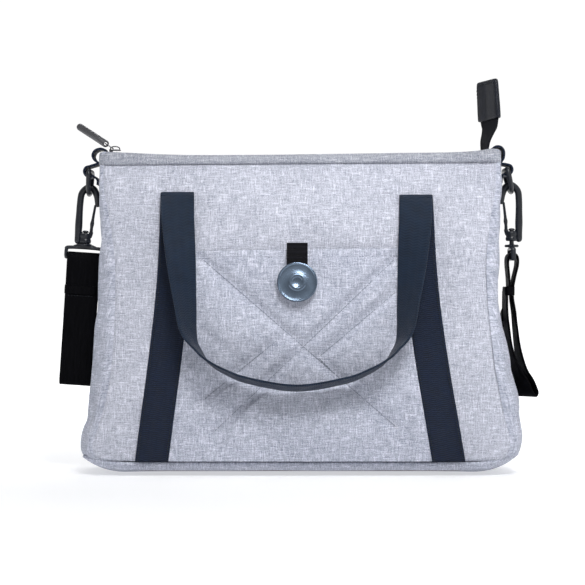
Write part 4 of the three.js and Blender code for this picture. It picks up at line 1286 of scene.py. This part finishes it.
def hook_base(hand, at, hang):
    """The swivel pin, its flange, and the frame that the strap passes round."""
    pin = lathe([[0, -13], [1.9, -13], [2.0, -9.5], [2.0, hang + 0.5], [2.8, hang + 0.6], [2.9, hang + 1.3],
                 [2.5, hang + 2.1], [1.4, hang + 2.6], [0, hang + 2.7]], 36)
    flange = lathe([[0, -11.6], [5.7, -11.6], [6.2, -11.2], [6.3, -10.4], [6.2, -9.7], [5.6, -9.3],
                    [0, -9.3]], 48)
    rim = curve([(-14.6, 0, -13.4), (0, 0, -12.9), (14.6, 0, -13.4), (16.1, 0, -15.4), (16.3, 0, -19.0),
                 (16.0, 0, -21.6), (14.4, 0, -22.2), (0, 0, -22.1), (-14.4, 0, -22.2), (-16.0, 0, -21.6),
                 (-16.3, 0, -19.0), (-16.1, 0, -15.4)], 8, True)
    loop = tube(rim, 1.65, binormal=(0, 1, 0), sides=18, closed=True, flat=1.4)
    shoulders = [tube([(0, 0, -10.8), (s * 9, 0, -12.6)], [3.1, 1.7], binormal=(0, 1, 0), sides=16)
                 for s in (-1, 1)]
    make(f"hook_base_{hand}_moulded", moved(merged(pin, flange, loop, *shoulders), at), PLASTIC,
         f"strap_end_{hand}", f"hook_base_{hand}")


# ---------- shoulder strap ----------
def strap_keeper(hand, at, shift):
    """The elastic band that holds both layers of one strap end together."""
    bottom, top, middle_y = -55, -47, 0.4

    def ring(level, width, thickness):
        outline = rounded_section(width, thickness, 6, 10)
        y = outline[:, 1] + middle_y - float(shift(level))
        return np.stack([outline[:, 0], y, np.full(len(outline), level)], 1)

    rings = []
    for level in np.linspace(bottom, top, 9):
        bulge = 0.15 * math.sin((level - bottom) / (top - bottom) * math.pi)
        rings.append(ring(level, 2 * (WEB_WIDTH / 2 + 0.75 + bulge), 8.6 + 2 * bulge))
    rings += [ring(level, 2 * (WEB_WIDTH / 2 + 0.1), 7.2) for level in np.linspace(top, bottom, 5)]
    rings = np.array(rings)
    run = np.repeat(np.arange(len(rings)) * 1.0, rings.shape[1])
    uv = np.stack([rings.reshape(-1, 3)[:, 0], run], 1)
    make(f"strap_keeper_{hand}_elastic", moved(skin(rings, closed=True), at), STRAP, f"strap_end_{hand}",
         f"strap_keeper_{hand}", uv=uv)


def strap_drop(hand, at, length, spread_out, shift, twist):
    """The strap below one hook: round the frame's bar, down, and folded back up behind.

    Low down, spread_out parts its two layers. At each height, shift moves it along the hook base's
    own -Y, in mm, and twist turns it, in degrees."""
    loop = [[0.4, -54], [0.7, -47], [2.4, -37], [4.3, -28], [4.3, -21.6], [2.7, -18.4],
            [0, -17.9], [-2.7, -18.4], [-4.3, -21.6], [-4.3, -28], [-3.2, -38]]
    bottom = -length

    def apart(z):
        return spread_out * smoothstep(-z, 56, 72)

    heights = [-50, -58, -70, -84, -104, bottom + 14, bottom + 4]
    down = [[-2.2 - apart(z), z] for z in heights]
    up = [[3 + apart(z), min(z, -48.5)] for z in heights][::-1]
    rows = []
    for n, z in [*loop, *down, [0.4, bottom], *up]:
        angle = math.radians(float(twist(z)))
        rows.append((n * math.sin(-angle), n * math.cos(angle) - float(shift(z)), z))
    line = curve(rows, 7)
    angle = np.radians(twist(line[:, 2]))
    side = np.stack([np.cos(angle), np.sin(angle), 0 * angle], 1)
    part, uv = webbing(line, side, thickness=1.85)
    make(f"strap_drop_{hand}_woven", moved(part, at), STRAP, f"strap_end_{hand}",
         f"strap_drop_{hand}", uv=uv)
    normal = np.array(at.to_3x3() @ Vector((0, -1, 0)))
    for k, level in enumerate((-47.2, -56.4)):
        y = -2.2 - float(apart(level)) - float(shift(level)) - 1.0
        row = moved((np.linspace((-12.5, y, level), (12.5, y, level), 20), []), at)[0]
        stitches(f"strap_drop_{hand}_stitch_{k}", row, THREAD, f"strap_end_{hand}", normal, 2.6, 1.9, 0.3)
    strap_keeper(hand, at, shift)


def straight(z):
    """No shift and no twist, at any height."""
    return np.zeros_like(np.asarray(z, float))


right_shift = profile([[-144, 11.2], [-134, 9.4], [-119, 5.6], [-101, 2], [-74, -1],
                       [-50, -2.4], [-28, 0], [-18, 0]])
right_twist = profile([[-144, 46], [-131, 29], [-122, 13], [-104, 5], [-82, 2], [-57, 0], [-18, 0]])
# What hangs at each side. The angles are in degrees for tilt and radians for turn; strap is
# (length, spread_out, shift, twist); and corner is where the side tab starts, in (x, z) points.
HANGERS = {
    "left": dict(tilt=3.4, turn=0.0, hang=0.0, strap=(136, 0, straight, straight),
                 corner=[[173.6, 287.4], [178, 288.7], [183, 287], [185.2, 282.6], [183.4, 278.4]]),
    "right": dict(tilt=-13.9, turn=math.pi / 2, hang=3.0, strap=(145, 1, right_shift, right_twist),
                  corner=[[171.5, 287.6], [175.5, 290.6], [180, 290.2], [182.8, 286.4], [182.6, 280.4]]),
}
for sign, hand in SIDES:
    parts = HANGERS[hand]
    ring_bar = pivot_mm(f"ring_{hand}_swing")
    collar_top = pivot_mm(f"strap_{hand}_swivel")
    swivel = joint_row(f"strap_{hand}_swivel")["axis"]
    tilt = math.atan2(swivel[0], swivel[2])
    base_place = placed(collar_top, tilt, parts["turn"]) @ Matrix.Translation((0, 0, -parts["hang"]))
    side_tab(sign, ring_bar, parts["corner"], f"side_tab_{hand}")
    d_ring(ring_bar, math.radians(parts["tilt"]), f"d_ring_{hand}", f"ring_{hand}")
    snap_hook(hand, -sign, collar_top, tilt)
    hook_base(hand, base_place, parts["hang"])
    strap_drop(hand, base_place, *parts["strap"])


def back_run():
    """The shoulder strap's run from hook to hook, low behind the case."""
    depth = float(face_depth(0, 42)) + 5.5
    line = curve([(-197, 9.6, 156), (-195, 21, 149), (-190, 40, 130), (-181, 62, 102), (-155, depth - 2, 74),
                  (-112, depth, 52), (-66, depth, 42), (-33, depth, 42), (0, depth, 42), (33, depth, 42),
                  (66, depth, 42), (112, depth, 52), (155, depth - 2, 74), (181, 62, 104), (188, 40, 134),
                  (186, 27.8, 145), (185, 20.2, 148)], 10)
    leaving = (1 - smoothstep(np.linspace(0, 1, len(line)), 0, 0.07)) * np.pi / 2
    side = np.stack([-np.sin(leaving), 0 * leaving, np.cos(leaving)], 1)
    part, uv = webbing(line, side, thickness=1.85)
    make("strap_back_run_woven", part, STRAP, "root", "strap_back_run", uv=uv)


back_run()
bevelled("strap_adjuster", "strap_adjuster_moulded", 0.9, PLASTIC, "strap_adjuster")


# ---------- inner pieces ----------
def inner_foam(side, name):
    """The foam sheet behind a panel."""
    low, high = BASE_SEAM + 8, BAND_SEAM - 8
    width, height, thickness = 330, high - low, 3.6

    def face(u, v, inner):
        z = low + height * v
        x = (2 * u - 1) * (seam_half_width(z) - 9)
        drop = edge_round(u, v, width, height, 1.4)
        depth, drop = (thickness, -drop) if inner else (0.0, drop)
        return np.stack([x, side * (face_depth(x, z) - 8.8 - depth - drop), z], 1)

    part, uv, _ = pad(face, spread(width, 8, 2), spread(height, 8, 2))
    piece = make(name + "_sheet", part, FOAM, "root", name, uv=uv * 300)


def board():
    """The stiff board that lies in the base."""
    rings = [outline_ring(150 - inset, 43 - inset, 18 - inset, z)
             for inset, z in ((1, 2.7), (0.3, 2.9), (0, 3.3), (0, 4.9), (0.3, 5.3), (1, 5.5))]
    make("base_board_cut", skin(rings), BOARD, "root", "base_board")


def lining():
    """The loose inner sack, open under the zip, with soft folds in its walls."""
    bottom, bottom_x, bottom_y = 5.8, 168, 42
    levels = np.concatenate([[bottom, 6.6, 8.5, 12], np.linspace(20, 262, 48)])

    def ring(z, inset):
        up = np.clip((z - bottom) / 14, 0, 1)
        half_x = bottom_x + (float(seam_half_width(z)) - 11 - bottom_x) * up - inset
        half_y = min(bottom_y + (float(seam_half_depth(z)) - 13.4 - bottom_y) * up, bottom_y) - inset
        line = outline_ring(half_x, half_y, 11 - inset, z)
        fold = rumple(line[:, 0], np.full(len(line), z * 0.4), SEED + 30, 34, 0.5) * min(z / 60, 1)
        line[:, 1] -= np.sign(line[:, 1]) * np.abs(fold) * (np.abs(line[:, 1]) > 3)
        return line

    rings = [ring(z, 0) for z in levels] + [ring(z, 0.9) for z in levels[::-1] if z > 6.5]
    points, faces = skin(rings)
    around = np.where(np.abs(points[:, 1]) > 12, points[:, 0], points[:, 1])
    piece = make("lining_sack", (points, faces), LINING, "root", "lining",
                 uv=np.stack([around, points[:, 2]], 1))


for side, place in FACES:
    inner_foam(side, f"{place}_foam")
board()
lining()
